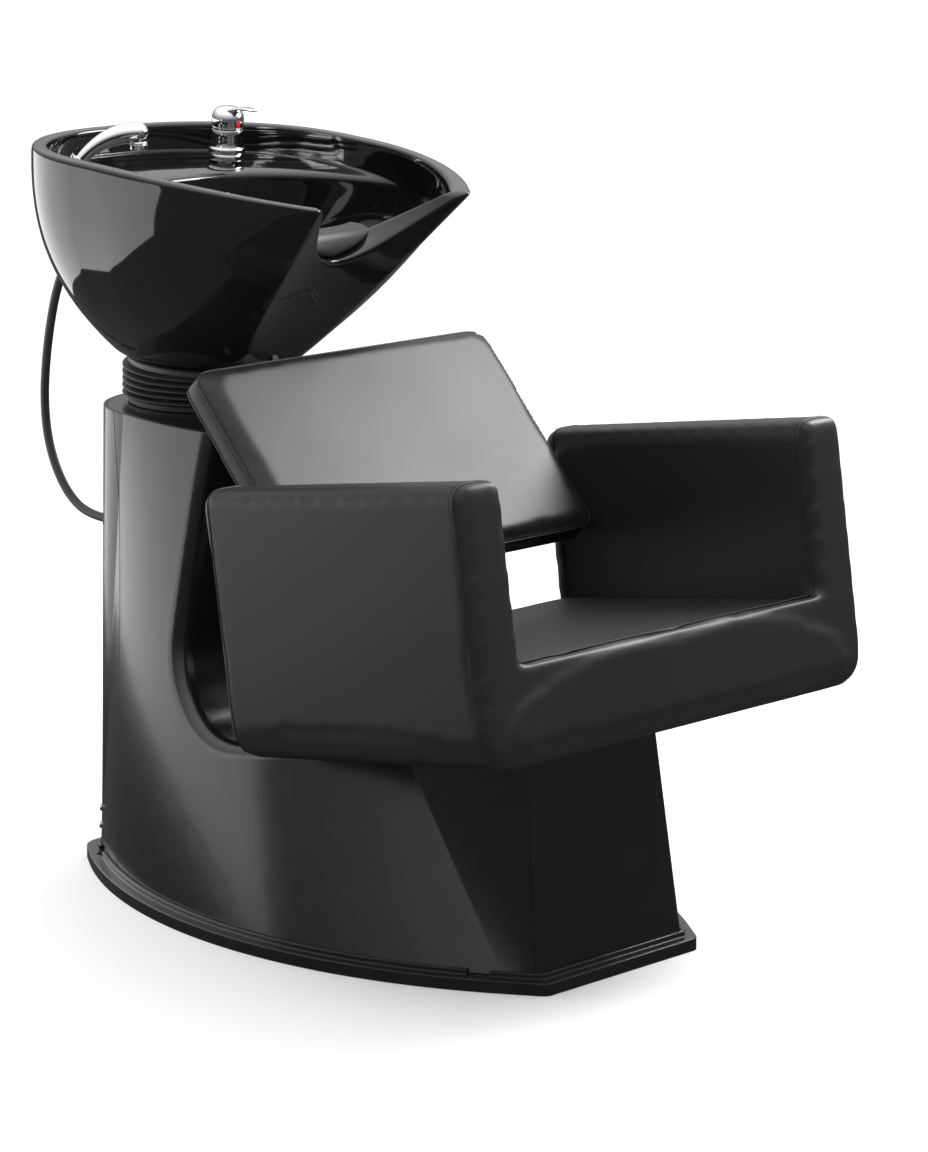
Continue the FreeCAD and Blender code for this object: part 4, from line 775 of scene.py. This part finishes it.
def chair_shell(sizes):
    """Arms and seat in one cover, with a felled welt round the front band."""
    overlap, sink = 0.01, 0.005
    rear_inset, foot_lift, rear_step, rear_round = 0.022, 0.02, 0.008, 0.005
    arm_low, arm_high = local_box("arm_right", CHAIR)
    seat_low, seat_high = local_box("seat_base", CHAIR)
    front, foot = seat_low.y, seat_low.z
    top = local_box("seat_cushion", CHAIR)[1].z - sink
    rail = ((seat_low.x - overlap, front, foot + overlap),
            (seat_high.x + overlap, front + 2 * overlap, top), CHAIR)
    nodes = ("arm_left", "arm_right", "seat_base")
    cover = cover_mesh("chair_cover", nodes, [rail])
    tree = padded(cover, sizes, nodes, limit=sizes.swell, passes=3)

    inner, outer = arm_low.x, arm_high.x
    loop = rounded_loop([
        (-outer, foot, FOOT_ROUND), (outer, foot, FOOT_ROUND), (outer, arm_high.z, ARM_ROUND),
        (inner, arm_high.z, ARM_ROUND), (inner, top, SEAT_ROUND), (-inner, top, SEAT_ROUND),
        (-inner, arm_high.z, ARM_ROUND), (-outer, arm_high.z, ARM_ROUND)])
    line = spaced([CHAIR @ Vector((p.x, front + sizes.band, p.y)) for p in loop], WELT_STEP)
    welt = band_piece("front_welt", on_surface(tree, line), sizes.welt / 2, WELT_RISE)
    dress(soften(welt, levels=1), "upholstery", body="base")
    rows = on_surface(tree, spaced(line, sizes.stitch * STITCH_PITCH))
    for name, side in (("front_stitches_near", -1), ("front_stitches_far", 1)):
        seam(name, rows, sizes, side * (sizes.welt / 2 + 3 * THREAD))

    rear, low = arm_high.y - rear_inset, foot + foot_lift
    for name, side in (("arm_piping_left", -1), ("arm_piping_right", 1)):
        loop = rounded_loop([
            (side * inner, low, rear_round), (side * outer, low, FOOT_ROUND),
            (side * outer, arm_high.z, ARM_ROUND), (side * inner, arm_high.z, ARM_ROUND)])
        line = spaced([CHAIR @ Vector((p.x, rear, p.y)) for p in loop], rear_step)
        piping(name, tree, line, sizes.piping)


def seat_pad(sizes):
    """The seat's own pad, between the arms and behind the front band."""
    edge, crown_room = 0.006, 0.014
    low, high = local_box("seat_cushion", CHAIR)
    block = ((low.x + edge, low.y + sizes.band, low.z - edge),
             (high.x - edge, high.y - edge, high.z - crown_room), CHAIR)
    cover = cover_mesh("seat_pad", (), [block])
    padded(cover, sizes, ("seat_cushion",), limit=sizes.crown, passes=6)


def back_cushion(sizes):
    """The leaned back cushion, with a sewn edge round its face and its rear."""
    edge, corner, face_room, rear_room, seam_inset = 0.004, 0.026, 0.011, 0.001, 0.015
    front_share, rear_share, seam_share = 0.3, 0.86, 0.14
    low, high = local_box("back_cushion", BACK)
    thick, middle = high.y - low.y, (low.z + high.z) / 2

    def shape(inset, steps):
        left, right, foot, head = low.x + inset, high.x - inset, low.z + inset, high.z - inset
        return rounded_loop([(left, foot, corner), (right, foot, corner), (right, head, corner),
                             (left, head, corner)], steps)

    depths = low.y + face_room, high.y - rear_room
    slab = [[Vector((p.x, y, p.y)) for p in shape(edge, 8)] for y in depths]
    cover = ring_piece("back_pad", slab, BACK)
    tree = padded(cover, sizes, ("back_cushion",), limit=sizes.crown, passes=5)
    loop = shape(0, 10)
    for name, share in (("back_piping_front", front_share), ("back_piping_rear", rear_share)):
        line = [BACK @ Vector((p.x, low.y + share * thick, p.y)) for p in loop]
        piping(name, tree, spaced(line, PIPING_STEP), sizes.piping)
    line = [BACK @ Vector((between(p.x, 0, seam_inset), low.y + seam_share * thick,
                           between(p.y, middle, seam_inset))) for p in loop]
    seam("back_stitches", on_surface(tree, spaced(line, sizes.stitch * STITCH_PITCH)), sizes, 0.0)


# Basin

ARC_STEPS = 9
RUN_STEPS = 9
ARC_SHARE = 0.96
LEVELS = 40
RIM_TRIES = 14
RIM_POWER = 0.55
BELLY_POWER = 2.6
DECK_BLEND = 0.06
LIP_ROOM = 0.014
HORN_ROUND_INSIDE = 0.024
DRAIN_DEPTH = 0.004
HOLLOW_RADIUS = 0.05


def outline(front, side, rear):
    """A mirrored six-corner outline as evenly divided arcs and runs; the side arcs are the largest."""
    f, s, r = Vector(front[:2]), Vector(side[:2]), Vector(rear[:2])

    def reach(corner, a, b, radius):
        return radius / math.tan((a - corner).angle(b - corner) / 2)

    room = min((f - s).length - reach(f, Vector((-f.x, f.y)), s, front[2]),
               (r - s).length - reach(r, Vector((-r.x, r.y)), s, rear[2]))
    radius = ARC_SHARE * room * math.tan((f - s).angle(r - s) / 2)
    half = [front, (s.x, s.y, radius), rear]
    corners = half + [(-x, y, c) for x, y, c in reversed(half)]
    arcs = rounded_loop(corners, ARC_STEPS)
    points = []
    for i in range(len(corners)):
        arc = arcs[i * (ARC_STEPS + 1):(i + 1) * (ARC_STEPS + 1)]
        following = arcs[(i + 1) % len(corners) * (ARC_STEPS + 1)]
        points += arc
        points += [arc[-1].lerp(following, k / RUN_STEPS) for k in range(1, RUN_STEPS)]
    return points


def belly(level):
    """Share of the way out at a share of the height."""
    return 1 - (1 - level) ** BELLY_POWER


def hollowed(points, half, depth):
    """Draws the front of an outline in between its two front corners."""
    for p in points:
        if p.y < 0 and abs(p.x) < half:
            p.y += depth * (1 - (p.x / half) ** 2)
    return points


def wall_outline(s, level, inset=0.0):
    """The basin's outside at a share of the height from base to rim."""
    out = belly(level)
    foot_half, foot_round, foot_side = 0.5 * s.base_half, 0.42 * s.base_half, 0.3 * s.base_front
    inset_across, inset_along = 0.7 * inset, 1.4 * inset
    front = (between(foot_half, s.horn_half, level) - inset_across,
             -between(s.base_front, s.horn_reach, level) + inset_along,
             between(foot_round, s.horn_round, level))
    half = between(s.base_half, s.half, out) - inset
    side = (half, -between(foot_side, s.shoulder, out))
    rear = (half, between(s.base_rear, s.rear, out) - inset, between(s.base_round, s.rear_round, out) - inset)
    return hollowed(outline(front, side, rear), front[0], s.hollow * level)


def inside_outline(s, share):
    """The basin's inside at a share of the height from floor to deck."""
    out = belly(share)
    floor_end, floor_side = 0.9 * s.floor_half, 0.2 * s.floor_half
    corner_half, corner_round, rear_round = 0.6 * s.floor_half, 0.5 * s.floor_half, 0.8 * s.floor_half
    deck = s.rim_rise - s.deck_drop
    level = (between(s.floor_rise, deck, share) - s.base_rise) / (s.rim_rise - s.base_rise)
    reach = between(s.base_front, s.horn_reach, level) - 1.6 * s.wall
    front = (between(corner_half, s.horn_half - 2 * s.wall, share), -between(floor_end, reach, share),
             between(corner_round, HORN_ROUND_INSIDE, share))
    half = between(s.floor_half, s.basin_half, out)
    side = (half, -between(floor_side, s.shoulder, out))
    rear = (half, between(floor_end, s.basin_rear, share), between(rear_round, 0.85 * s.basin_half, out))
    return hollowed(outline(front, side, rear), front[0], s.hollow * level * share)


class BasinForm:
    """Outlines of the basin's faces, read column by column."""

    def __init__(self, sizes):
        self.s = s = sizes
        self.deck = s.rim_rise - s.deck_drop
        self.outside = [wall_outline(s, k / LEVELS) for k in range(LEVELS + 1)]
        self.inside = [inside_outline(s, k / LEVELS) for k in range(LEVELS + 1)]
        rim_level = 1 - s.deck_drop / (s.rim_rise - s.base_rise)
        deck_wide = s.wall + 0.002
        self.recess = [wall_outline(s, rim_level, deck_wide), wall_outline(s, 1, s.rim_wide)]
        self.columns = len(self.outside[0])
        span = s.rear + s.rim_peak
        self.arch = (span * span + s.rim_fall * s.rim_fall) / (2 * s.rim_fall)
        self.rim = [self.rim_height(i) for i in range(self.columns)]

    def read(self, table, i, share):
        place = clamp(share) * (len(table) - 1)
        k = min(int(place), len(table) - 2)
        return table[k][i].lerp(table[k + 1][i], place - k)

    def wall(self, i, z):
        return self.read(self.outside, i, (z - self.s.base_rise) / (self.s.rim_rise - self.s.base_rise))

    def inner(self, i, z):
        if z >= self.deck:
            return self.read(self.recess, i, (z - self.deck) / self.s.deck_drop)
        return self.read(self.inside, i, (z - self.s.floor_rise) / (self.deck - self.s.floor_rise))

    def notch(self, x):
        """Height of the notch's edge at a distance from the middle."""
        s = self.s
        out = abs(x) - s.notch_half
        rise = 0.5 * (out + math.hypot(out, s.notch_round))
        return s.rim_rise - s.notch_drop + rise * s.notch_drop / (s.horn_half - s.notch_half)

    def rim_height(self, i):
        s, z = self.s, self.s.rim_rise
        for _ in range(RIM_TRIES):
            p = self.wall(i, z)
            away = p.y + s.rim_peak
            fall = self.arch - math.sqrt(self.arch ** 2 - away * away)
            z = s.rim_rise - fall * (s.rim_back if away > 0 else 1)
            if p.y < -s.base_front:
                soft = s.horn_soft
                mix = clamp(0.5 + 0.5 * (self.notch(p.x) - z) / soft)
                z = between(self.notch(p.x), z, mix) - soft * mix * (1 - mix)
        return z


def raised(points, heights):
    return [Vector((p.x, p.y, z)) for p, z in zip(points, heights)]


def basin_rings(form):
    """Closed rings: up the outside, over the rim, down the inside, through the drain and back."""
    wall_steps, rim_steps, deck_steps, lip_steps, side_steps, floor_steps = 18, 10, 5, 9, 14, 4
    s, every = form.s, range(form.columns)
    crest = [z - s.rim_round for z in form.rim]
    rings = []
    for k in range(wall_steps + 1):
        heights = [between(s.base_rise, crest[i], k / wall_steps) for i in every]
        rings.append(raised([form.wall(i, heights[i]) for i in every], heights))
    for k in range(1, rim_steps):
        turn = math.pi * k / rim_steps
        share, lift = (1 - squared(math.cos(turn), RIM_POWER)) / 2, math.sin(turn) ** RIM_POWER
        places, heights = [], []
        for i in every:
            low, high = crest[i], form.rim[i]
            outer = form.wall(i, low).lerp(form.wall(i, high), lift)
            inner = form.inner(i, low).lerp(form.inner(i, high), lift)
            places.append(outer.lerp(inner, share))
            heights.append(between(low, high, lift))
        rings.append(raised(places, heights))
    foot = [min(form.deck, z - LIP_ROOM) for z in crest]
    lip = [z - s.deck_lip for z in foot]
    walls = []
    for k in range(deck_steps + 1):
        heights = [between(crest[i], foot[i], k / deck_steps) for i in every]
        walls.append(raised([form.inner(i, heights[i] if foot[i] < form.deck else max(heights[i], form.deck))
                             for i in every], heights))
    for k in range(1, lip_steps + 1):
        share = k / lip_steps
        places = [form.inner(i, foot[i]).lerp(form.inner(i, lip[i]), ease(share)) for i in every]
        walls.append(raised(places, [between(foot[i], lip[i], share ** 3) for i in every]))
    decked = [ease(clamp(0.5 + 0.5 * walls[0][i].y / DECK_BLEND)) for i in every]
    for k, ring in enumerate(walls):
        share = k / (len(walls) - 1)
        rings.append([walls[0][i].lerp(walls[-1][i], share).lerp(ring[i], decked[i]) for i in every])
    for k in range(1, side_steps + 1):
        heights = [between(lip[i], s.floor_rise, (k / side_steps) ** 0.9) for i in every]
        rings.append(raised([form.inner(i, heights[i]) for i in every], heights))
    flat = form.inside[0]

    def disc(radius, height):
        return [Vector((p.x, p.y, 0)).normalized() * radius + Vector((0, 0, height)) for p in flat]

    outer, inner = raised(flat, [s.floor_rise] * form.columns), disc(s.drain, s.floor_rise)
    for k in range(1, floor_steps + 1):
        rings.append([a.lerp(b, k / floor_steps) for a, b in zip(outer, inner)])
    under, seat = s.floor_rise - s.wall, s.floor_rise - DRAIN_DEPTH
    for radius, height in ((s.drain, seat), (s.bore, seat), (s.bore, under),
                           (HOLLOW_RADIUS, under), (HOLLOW_RADIUS, s.base_rise)):
        rings.append(disc(radius, height))
    rings.append([a.lerp(b, 0.5) for a, b in zip(rings[-1], rings[0])])
    return rings


def basin_piece(form):
    """The glazed bowl, with its rim, deck, notch and drain."""
    bowl = ring_piece("glazed_bowl", basin_rings(form), BASIN, closed=True)
    soften(bowl, levels=2)
    dress(bowl, "bowl_glaze", body="basin", replaced=("bowl",))


def neck_rest(form):
    """A soft collar in the neck notch: dished along its top and rolled over to the front."""
    count, sides = 41, 40
    rise, dish, gap = 0.042, 0.004, 0.0008
    power, end_power, end_thick, end_high, roll = 0.62, 9, 0.8, 0.72, 0.048
    low, high = local_box("neck_rest", BASIN)
    front, deep = low.y + 0.6 * form.s.hollow, high.y - low.y
    floor = form.s.rim_rise - form.s.notch_drop
    rings = []
    for k in range(count):
        share = 2 * k / (count - 1) - 1
        x = high.x * math.sin(share * math.pi / 2)
        end = math.sqrt(max(0.0, 1 - abs(share) ** end_power))
        foot, top = form.notch(x) + gap, floor + rise + dish * share * share
        middle, half = (foot + top) / 2, (top - foot) / 2
        ring = []
        for i in range(sides):
            turn = math.tau * i / sides
            across = squared(math.cos(turn), power) * between(end_thick, 1, end)
            up = squared(math.sin(turn), power) * between(end_high, 1, end)
            lean = roll * (up + 1) * (1 - across)
            ring.append(Vector((x, front + deep * (0.5 + 0.5 * across + lean), middle + half * up)))
        rings.append(ring)
    pad = ring_piece("neck_saddle", rings, BASIN)
    soften(pad, levels=1)
    dress(pad, "black_rubber", body="basin", replaced=("neck_rest",))


def bending(piece, slot, node):
    """Dresses a piece between the column and the basin and bakes its place into its mesh."""
    dress(soften(piece, math.radians(60)), slot, replaced=(node,))
    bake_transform(piece)


def bellows_piece(sizes):
    """Wavy ribs between two plain cuffs, leaned over to the basin's rest tilt."""
    rows, sides = 96, 96
    top, cuff, power, clearance, lining = 0.0276, 0.13, 0.62, 0.0004, 0.975
    sag, ripple, heading = 0.03, 0.018, 1.1
    low = Vector((AXIS.x, AXIS.y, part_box("bellows")[0].z))
    high = BASIN @ Vector((0, 0, top))
    rings = []
    for k in range(rows + 1):
        share = k / rows
        turn = Matrix.Rotation(TILT * share, 4, "X")
        centre = low.lerp(high, share)
        ring = []
        for i in range(sides):
            angle = math.tau * i / sides
            sway = sag * math.sin(2 * angle + heading) + ripple * math.sin(3 * angle)
            along = clamp((share + sway * math.sin(math.pi * share) - cuff) / (1 - 2 * cuff))
            wave = (0.5 - 0.5 * math.cos(math.tau * sizes.ribs * along)) ** power
            radius = between(sizes.rib_in, sizes.rib_out, wave) - clearance
            ring.append(centre + turn @ Vector((radius * math.cos(angle), radius * math.sin(angle), 0)))
        rings.append(ring)
    ends = (high, rings[-1]), (low, rings[0])
    rings += [[centre + (p - centre) * lining for p in ring] for centre, ring in ends]
    sleeve = ring_piece("ribbed_sleeve", rings, closed=True)
    bending(sleeve, "black_rubber", "bellows")


# Hoses

SPRAY_ROUTE = [
    (-0.080, 0.520, 0.795), (-0.080, 0.541, 0.769), (-0.080, 0.557, 0.734), (-0.080, 0.570, 0.690),
    (-0.080, 0.580, 0.642), (-0.080, 0.585, 0.593), (-0.080, 0.581, 0.546), (-0.080, 0.565, 0.503),
    (-0.080, 0.537, 0.467), (-0.080, 0.496, 0.446), (-0.080, 0.455, 0.446),
]


def hoses(sizes):
    """The spray hose behind the basin, and the waste and supply hoses inside."""
    line = route(SPRAY_ROUTE)
    hose = ring_piece("spray_hose_tube", sweep(line, lambda share: sizes.hose, 20))
    bending(hose, "black_rubber", "spray_hose")

    waste_radius, waste_wave, waste_ribs, rows = 0.0188, 0.0010, 80, 240
    low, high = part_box("waste_hose")
    foot, head = Vector((AXIS.x, AXIS.y, low.z)), Vector((AXIS.x, AXIS.y, high.z))
    line = [foot.lerp(head, k / rows) for k in range(rows + 1)]
    waste = ring_piece("waste_tube", sweep(
        line, lambda share: waste_radius + waste_wave * math.cos(math.tau * waste_ribs * share), 32))
    bending(waste, "grey_plastic", "waste_hose")

    supply_radius, apart, tail = 0.0049, 0.008, 0.04
    low_bend, high_bend, over, run = 0.184, 0.368, 0.1, 0.06
    inlet, rear = AXIS.y + 0.055, AXIS.y + 0.084
    for node, x, side in (("hot_hose", 0.014, -1), ("cold_hose", 0.038, 1)):
        low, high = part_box(node)
        end = BASIN @ Vector((sizes.mixer_x + side * apart, sizes.mixer_y, deck_height() - tail))
        line = route([(x, inlet, low.z), (x, inlet, low_bend), (x, rear, high_bend), (x, rear, AXIS.z + over),
                      (end.x, end.y, high.z - run), (end.x, end.y, high.z)])
        supply = ring_piece(node.replace("hose", "supply"), sweep(line, lambda share: supply_radius, 16))
        bending(supply, "braid", node)


def deck_height():
    """Height of the tap deck over the tilt axis."""
    basin = bpy.context.scene.basin
    return basin.rim_rise - basin.deck_drop


# Mixer tap

def turned(name, profile, place, sides, angle, body, nodes=()):
    """A chromed piece of revolution."""
    piece = lathe(name, profile, place, sides)
    dress(soften(piece, math.radians(angle)), "chrome", body=body, replaced=nodes)


def mixer(sizes):
    """Turned body, ring and collar, and a domed lever with its blade."""
    place = BASIN @ Matrix.Translation((sizes.mixer_x, sizes.mixer_y, deck_height()))
    turned("mixer_body", [
        (0.012, -0.04), (0.0148, -0.04), (0.0148, 0.0002), (0.0236, 0.0002), (0.0240, 0.0012),
        (0.0236, 0.0070), (0.0228, 0.0088), (0.0244, 0.0096), (0.0250, 0.0108), (0.0250, 0.0155),
        (0.0244, 0.0168), (0.0214, 0.0173), (0.0210, 0.0184), (0.0207, 0.0290), (0.0210, 0.0396),
        (0.0206, 0.0408), (0.012, 0.0410)], place, 64, 28, "basin", ("mixer_base",))
    turned("mixer_collar_ring", [
        (0.006, 0.0415), (0.0198, 0.0415), (0.0204, 0.0420), (0.0204, 0.0436), (0.0198, 0.0441),
        (0.006, 0.0441), (0.006, 0.0570), (0.0, 0.0570)], place, 64, 28, "mixer_turn", ("mixer_collar",))

    profile = [(0.0162, 0.0446), (0.0211, 0.0446), (0.0217, 0.0452), (0.0218, 0.0490), (0.0217, 0.0550),
               (0.0211, 0.0600), (0.0193, 0.0650), (0.0160, 0.0688), (0.0112, 0.0712), (0.0058, 0.0723),
               (0.0008, 0.0726)]
    skirt, slope = 0.0448, 0.41
    dome = [circle(r, z, 64) for r, z in profile]
    for p in (p for ring in dome for p in ring):
        p.z = max(p.z, skirt + slope * max(0.0, p.y))

    reach, root, arch, rise, tip = 0.0545, 0.0665, 0.0080, 0.0012, 0.94
    root_half, tip_half, root_thick, tip_thick = 0.0130, 0.0072, 0.009, 0.0034
    tip_narrow, tip_thin, power_across, power_up = 0.8, 0.7, 0.65, 0.8
    sections, sides = 14, 32
    turns = [math.tau * i / sides for i in reversed(range(sides))]
    blade = []
    for k in range(sections):
        share = k / (sections - 1)
        half = between(root_half, tip_half, ease(share)) * (1 if share < tip else tip_narrow)
        crest = root + arch * math.sin(math.pi * 0.72 * share) + rise * share
        thick = between(root_thick, tip_thick, share ** 0.7) * (1 if share < tip else tip_thin)
        middle = crest - thick / 2
        blade.append([Vector((half * squared(math.cos(t), power_across), -reach * share,
                              middle + thick / 2 * squared(math.sin(t), power_up))) for t in turns])
    lever = joined("mixer_handle", [dome, blade], place)
    dress(soften(lever, math.radians(40)), "chrome", body="lever", replaced=("mixer_lever",))


# Hand spray

def spray(sizes):
    """A stem that curls over to its rounded head, with the rose and its jets under it."""
    place = (BASIN @ Matrix.Translation((sizes.spray_x, sizes.spray_y, deck_height()))
             @ Matrix.Rotation(sizes.spray_turn, 4, "Z") @ Matrix.Rotation(sizes.spray_lean, 4, "Y"))
    low, high, head, stem, point = -0.035, 0.018, 0.0138, 0.0085, 0.0008
    stem_steps, curl_steps, swell_steps, end_steps = 12, 28, 25, 8
    bend, curl = sizes.spray_bend, sizes.spray_curl
    line, radii = [], []
    for k in range(stem_steps + 1):
        line.append(Vector((0, 0, between(low, high, k / stem_steps))))
        radii.append(stem)
    for k in range(1, curl_steps + 1):
        turn = curl * k / curl_steps
        line.append(Vector((bend * (1 - math.cos(turn)), 0, high + bend * math.sin(turn))))
        radii.append(between(stem, head, ease(min(1, k / swell_steps))))
    ahead = Vector((math.sin(curl), 0, math.cos(curl)))
    centre = line[-1].copy()
    for k in range(1, end_steps + 1):
        turn = math.pi / 2 * k / end_steps
        line.append(centre + ahead * (head * math.sin(turn)))
        radii.append(max(point, head * math.cos(turn)))
    last = len(line) - 1
    handset = ring_piece("spray_handle", sweep(line, lambda share: radii[round(share * last)], 40), place)
    dress(soften(handset, math.radians(40)), "chrome", body="spray", replaced=("spray_handset",))

    down = Vector((ahead.z, 0, -ahead.x))
    turn = Vector((0, 0, 1)).rotation_difference(down).to_matrix().to_4x4()
    nose = place @ Matrix.Translation(centre) @ turn
    turned("spray_neck", [
        (0.0112, 0.002), (0.0116, 0.0118), (0.0124, 0.0126), (0.0124, 0.0143), (0.0116, 0.0150)],
        nose, 48, 30, "spray")
    turned("spray_rose", [
        (0.0, 0.0151), (0.0114, 0.0151), (0.0125, 0.0158), (0.0127, 0.0200), (0.0122, 0.0222),
        (0.0112, 0.0229), (0.0100, 0.0229), (0.0096, 0.0222), (0.0, 0.0220)],
        nose, 48, 30, "spray", ("spray_nozzle",))
    jet = ((0.0011, 0.0215), (0.0011, 0.0226), (0.0006, 0.0231))
    parts = []
    for radius, number in ((0.0028, 5), (0.0064, 10)):
        for spot in circle(radius, 0.0, number):
            parts.append([[spot + p for p in circle(r, z, 10)] for r, z in jet])
    dress(soften(joined("spray_jets", parts, nose)), "black_rubber", body="spray")


def carried_over():
    """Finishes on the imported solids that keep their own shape."""
    for name, node in NODES.items():
        node.data.materials.clear()
        node.data.materials.append(FINISHES[SLOT_OF[name]])


# Stage

def area_light(name, place, target, size, power):
    data = bpy.data.lights.new(name, "AREA")
    data.shape = "RECTANGLE"
    data.size, data.size_y = size
    data.energy = power
    light = bpy.data.objects.new(name, data)
    bpy.context.scene.collection.objects.link(light)
    light.visible_camera = False
    light.location = place
    light.rotation_euler = (Vector(target) - Vector(place)).to_track_quat("-Z", "Y").to_euler()


def stage(studio):
    """A pale floor, a sky that is brighter above, two lights and the camera."""
    scene = bpy.context.scene
    scene.view_settings.view_transform = "Standard"
    reach = 40
    corners = [(-reach, -reach, 0), (reach, -reach, 0), (reach, reach, 0), (-reach, reach, 0)]
    floor = new_piece("floor", corners, [(0, 1, 2, 3)])
    paper = Finish("pale_floor", specular_ior_level=0.1)
    mottle = paper.noise(3, 3)
    tone = tuple(studio.floor)
    paper.set(**{"Base Color": paper.tint(mottle, scaled(tone, 0.99), tone), "Roughness": 0.7 + 0.1 * mottle})
    floor.data.materials.append(paper.material)
    floor.visible_glossy = False

    world = bpy.data.worlds.new("studio")
    world.use_nodes = True
    sky = Graph(world.node_tree, "Background")
    heading = sky.add("ShaderNodeTexCoord", output="Generated")
    climb = sky.add("ShaderNodeSeparateXYZ", None, {0: heading}, "Z")
    glow = sky.add("ShaderNodeMapRange", None, {0: climb, 1: 0.0, 2: 1.0, 3: studio.haze, 4: studio.sky})
    sky.set(Color=shade(1.0), Strength=glow)
    scene.world = world
    area_light("key_right", (1.15, -0.46, 1.5), (0.15, -0.1, 0.55), (0.8, 0.8), 36)
    area_light("rear_low", (-0.75, 1.6, 0.47), (0, 0.3, 0.42), (2.6, 0.98), 16)

    data = bpy.data.cameras.new("camera")
    data.lens = studio.lens
    data.sensor_width = 36
    camera = bpy.data.objects.new("camera", data)
    scene.collection.objects.link(camera)
    a, e = studio.azimuth, studio.elevation
    forward = Vector((-math.sin(a) * math.cos(e), math.cos(a) * math.cos(e), -math.sin(e)))
    camera.location = Vector(studio.target) - forward * studio.distance
    camera.rotation_euler = forward.to_track_quat("-Z", "Y").to_euler()
    scene.camera = camera


# Operators

class BACKWASH_OT_finishes(Operator):
    """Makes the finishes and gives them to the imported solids"""

    bl_idname = "backwash.finishes"
    bl_label = "Finishes"

    def execute(self, context):
        make_finishes(context.scene)
        carried_over()
        return {"FINISHED"}


class BACKWASH_OT_hoses(Operator):
    """Spray hose, waste hose and supply hoses"""

    bl_idname = "backwash.hoses"
    bl_label = "Hoses"

    def execute(self, context):
        hoses(context.scene.fittings)
        return {"FINISHED"}


class BACKWASH_OT_chair(Operator):
    """Arms, seat and back cushion"""

    bl_idname = "backwash.chair"
    bl_label = "Chair"

    def execute(self, context):
        chair_shell(context.scene.upholstery)
        seat_pad(context.scene.upholstery)
        back_cushion(context.scene.upholstery)
        return {"FINISHED"}


class BACKWASH_OT_basin(Operator):
    """Glazed bowl and neck rest"""

    bl_idname = "backwash.basin"
    bl_label = "Basin"

    def execute(self, context):
        form = BasinForm(context.scene.basin)
        basin_piece(form)
        neck_rest(form)
        return {"FINISHED"}


class BACKWASH_OT_bellows(Operator):
    """Ribbed sleeve between column and basin"""

    bl_idname = "backwash.bellows"
    bl_label = "Bellows"

    def execute(self, context):
        bellows_piece(context.scene.fittings)
        return {"FINISHED"}


class BACKWASH_OT_taps(Operator):
    """Mixer tap and hand spray"""

    bl_idname = "backwash.taps"
    bl_label = "Taps"

    def execute(self, context):
        mixer(context.scene.fittings)
        spray(context.scene.fittings)
        return {"FINISHED"}


class BACKWASH_OT_stage(Operator):
    """Floor, light and camera"""

    bl_idname = "backwash.stage"
    bl_label = "Stage"

    def execute(self, context):
        stage(context.scene.studio)
        return {"FINISHED"}


STEPS = (BACKWASH_OT_finishes, BACKWASH_OT_hoses, BACKWASH_OT_chair, BACKWASH_OT_basin, BACKWASH_OT_bellows,
         BACKWASH_OT_taps, BACKWASH_OT_stage)
GROUPS = {"upholstery": UpholsterySizes, "basin": BasinSizes, "fittings": FittingSizes,
          "studio": StudioSettings}


class BACKWASH_PT_sidebar(Panel):
    """Sizes and steps of the unit"""

    bl_idname = "BACKWASH_PT_sidebar"
    bl_label = "Backwash unit"
    bl_space_type = "VIEW_3D"
    bl_region_type = "UI"
    bl_category = "Backwash"

    def draw(self, context):
        for step in STEPS:
            self.layout.operator(step.bl_idname)
        for name, group in GROUPS.items():
            box = self.layout.box()
            for field in group.__annotations__:
                box.prop(getattr(context.scene, name), field)


CLASSES = (*GROUPS.values(), *STEPS, BACKWASH_PT_sidebar)


def register():
    for cls in CLASSES:
        bpy.utils.register_class(cls)
    for name, group in GROUPS.items():
        setattr(bpy.types.Scene, name, PointerProperty(type=group))


def unregister():
    for name in GROUPS:
        delattr(bpy.types.Scene, name)
    for cls in reversed(CLASSES):
        bpy.utils.unregister_class(cls)


def main():
    register()
    bpy.ops.backwash.finishes()
    bpy.ops.backwash.hoses()
    bpy.ops.backwash.chair()
    bpy.ops.backwash.basin()
    bpy.ops.backwash.bellows()
    bpy.ops.backwash.taps()
    bpy.ops.backwash.stage()
    bpy.context.view_layer.update()


if __name__ == "__main__":
    main()
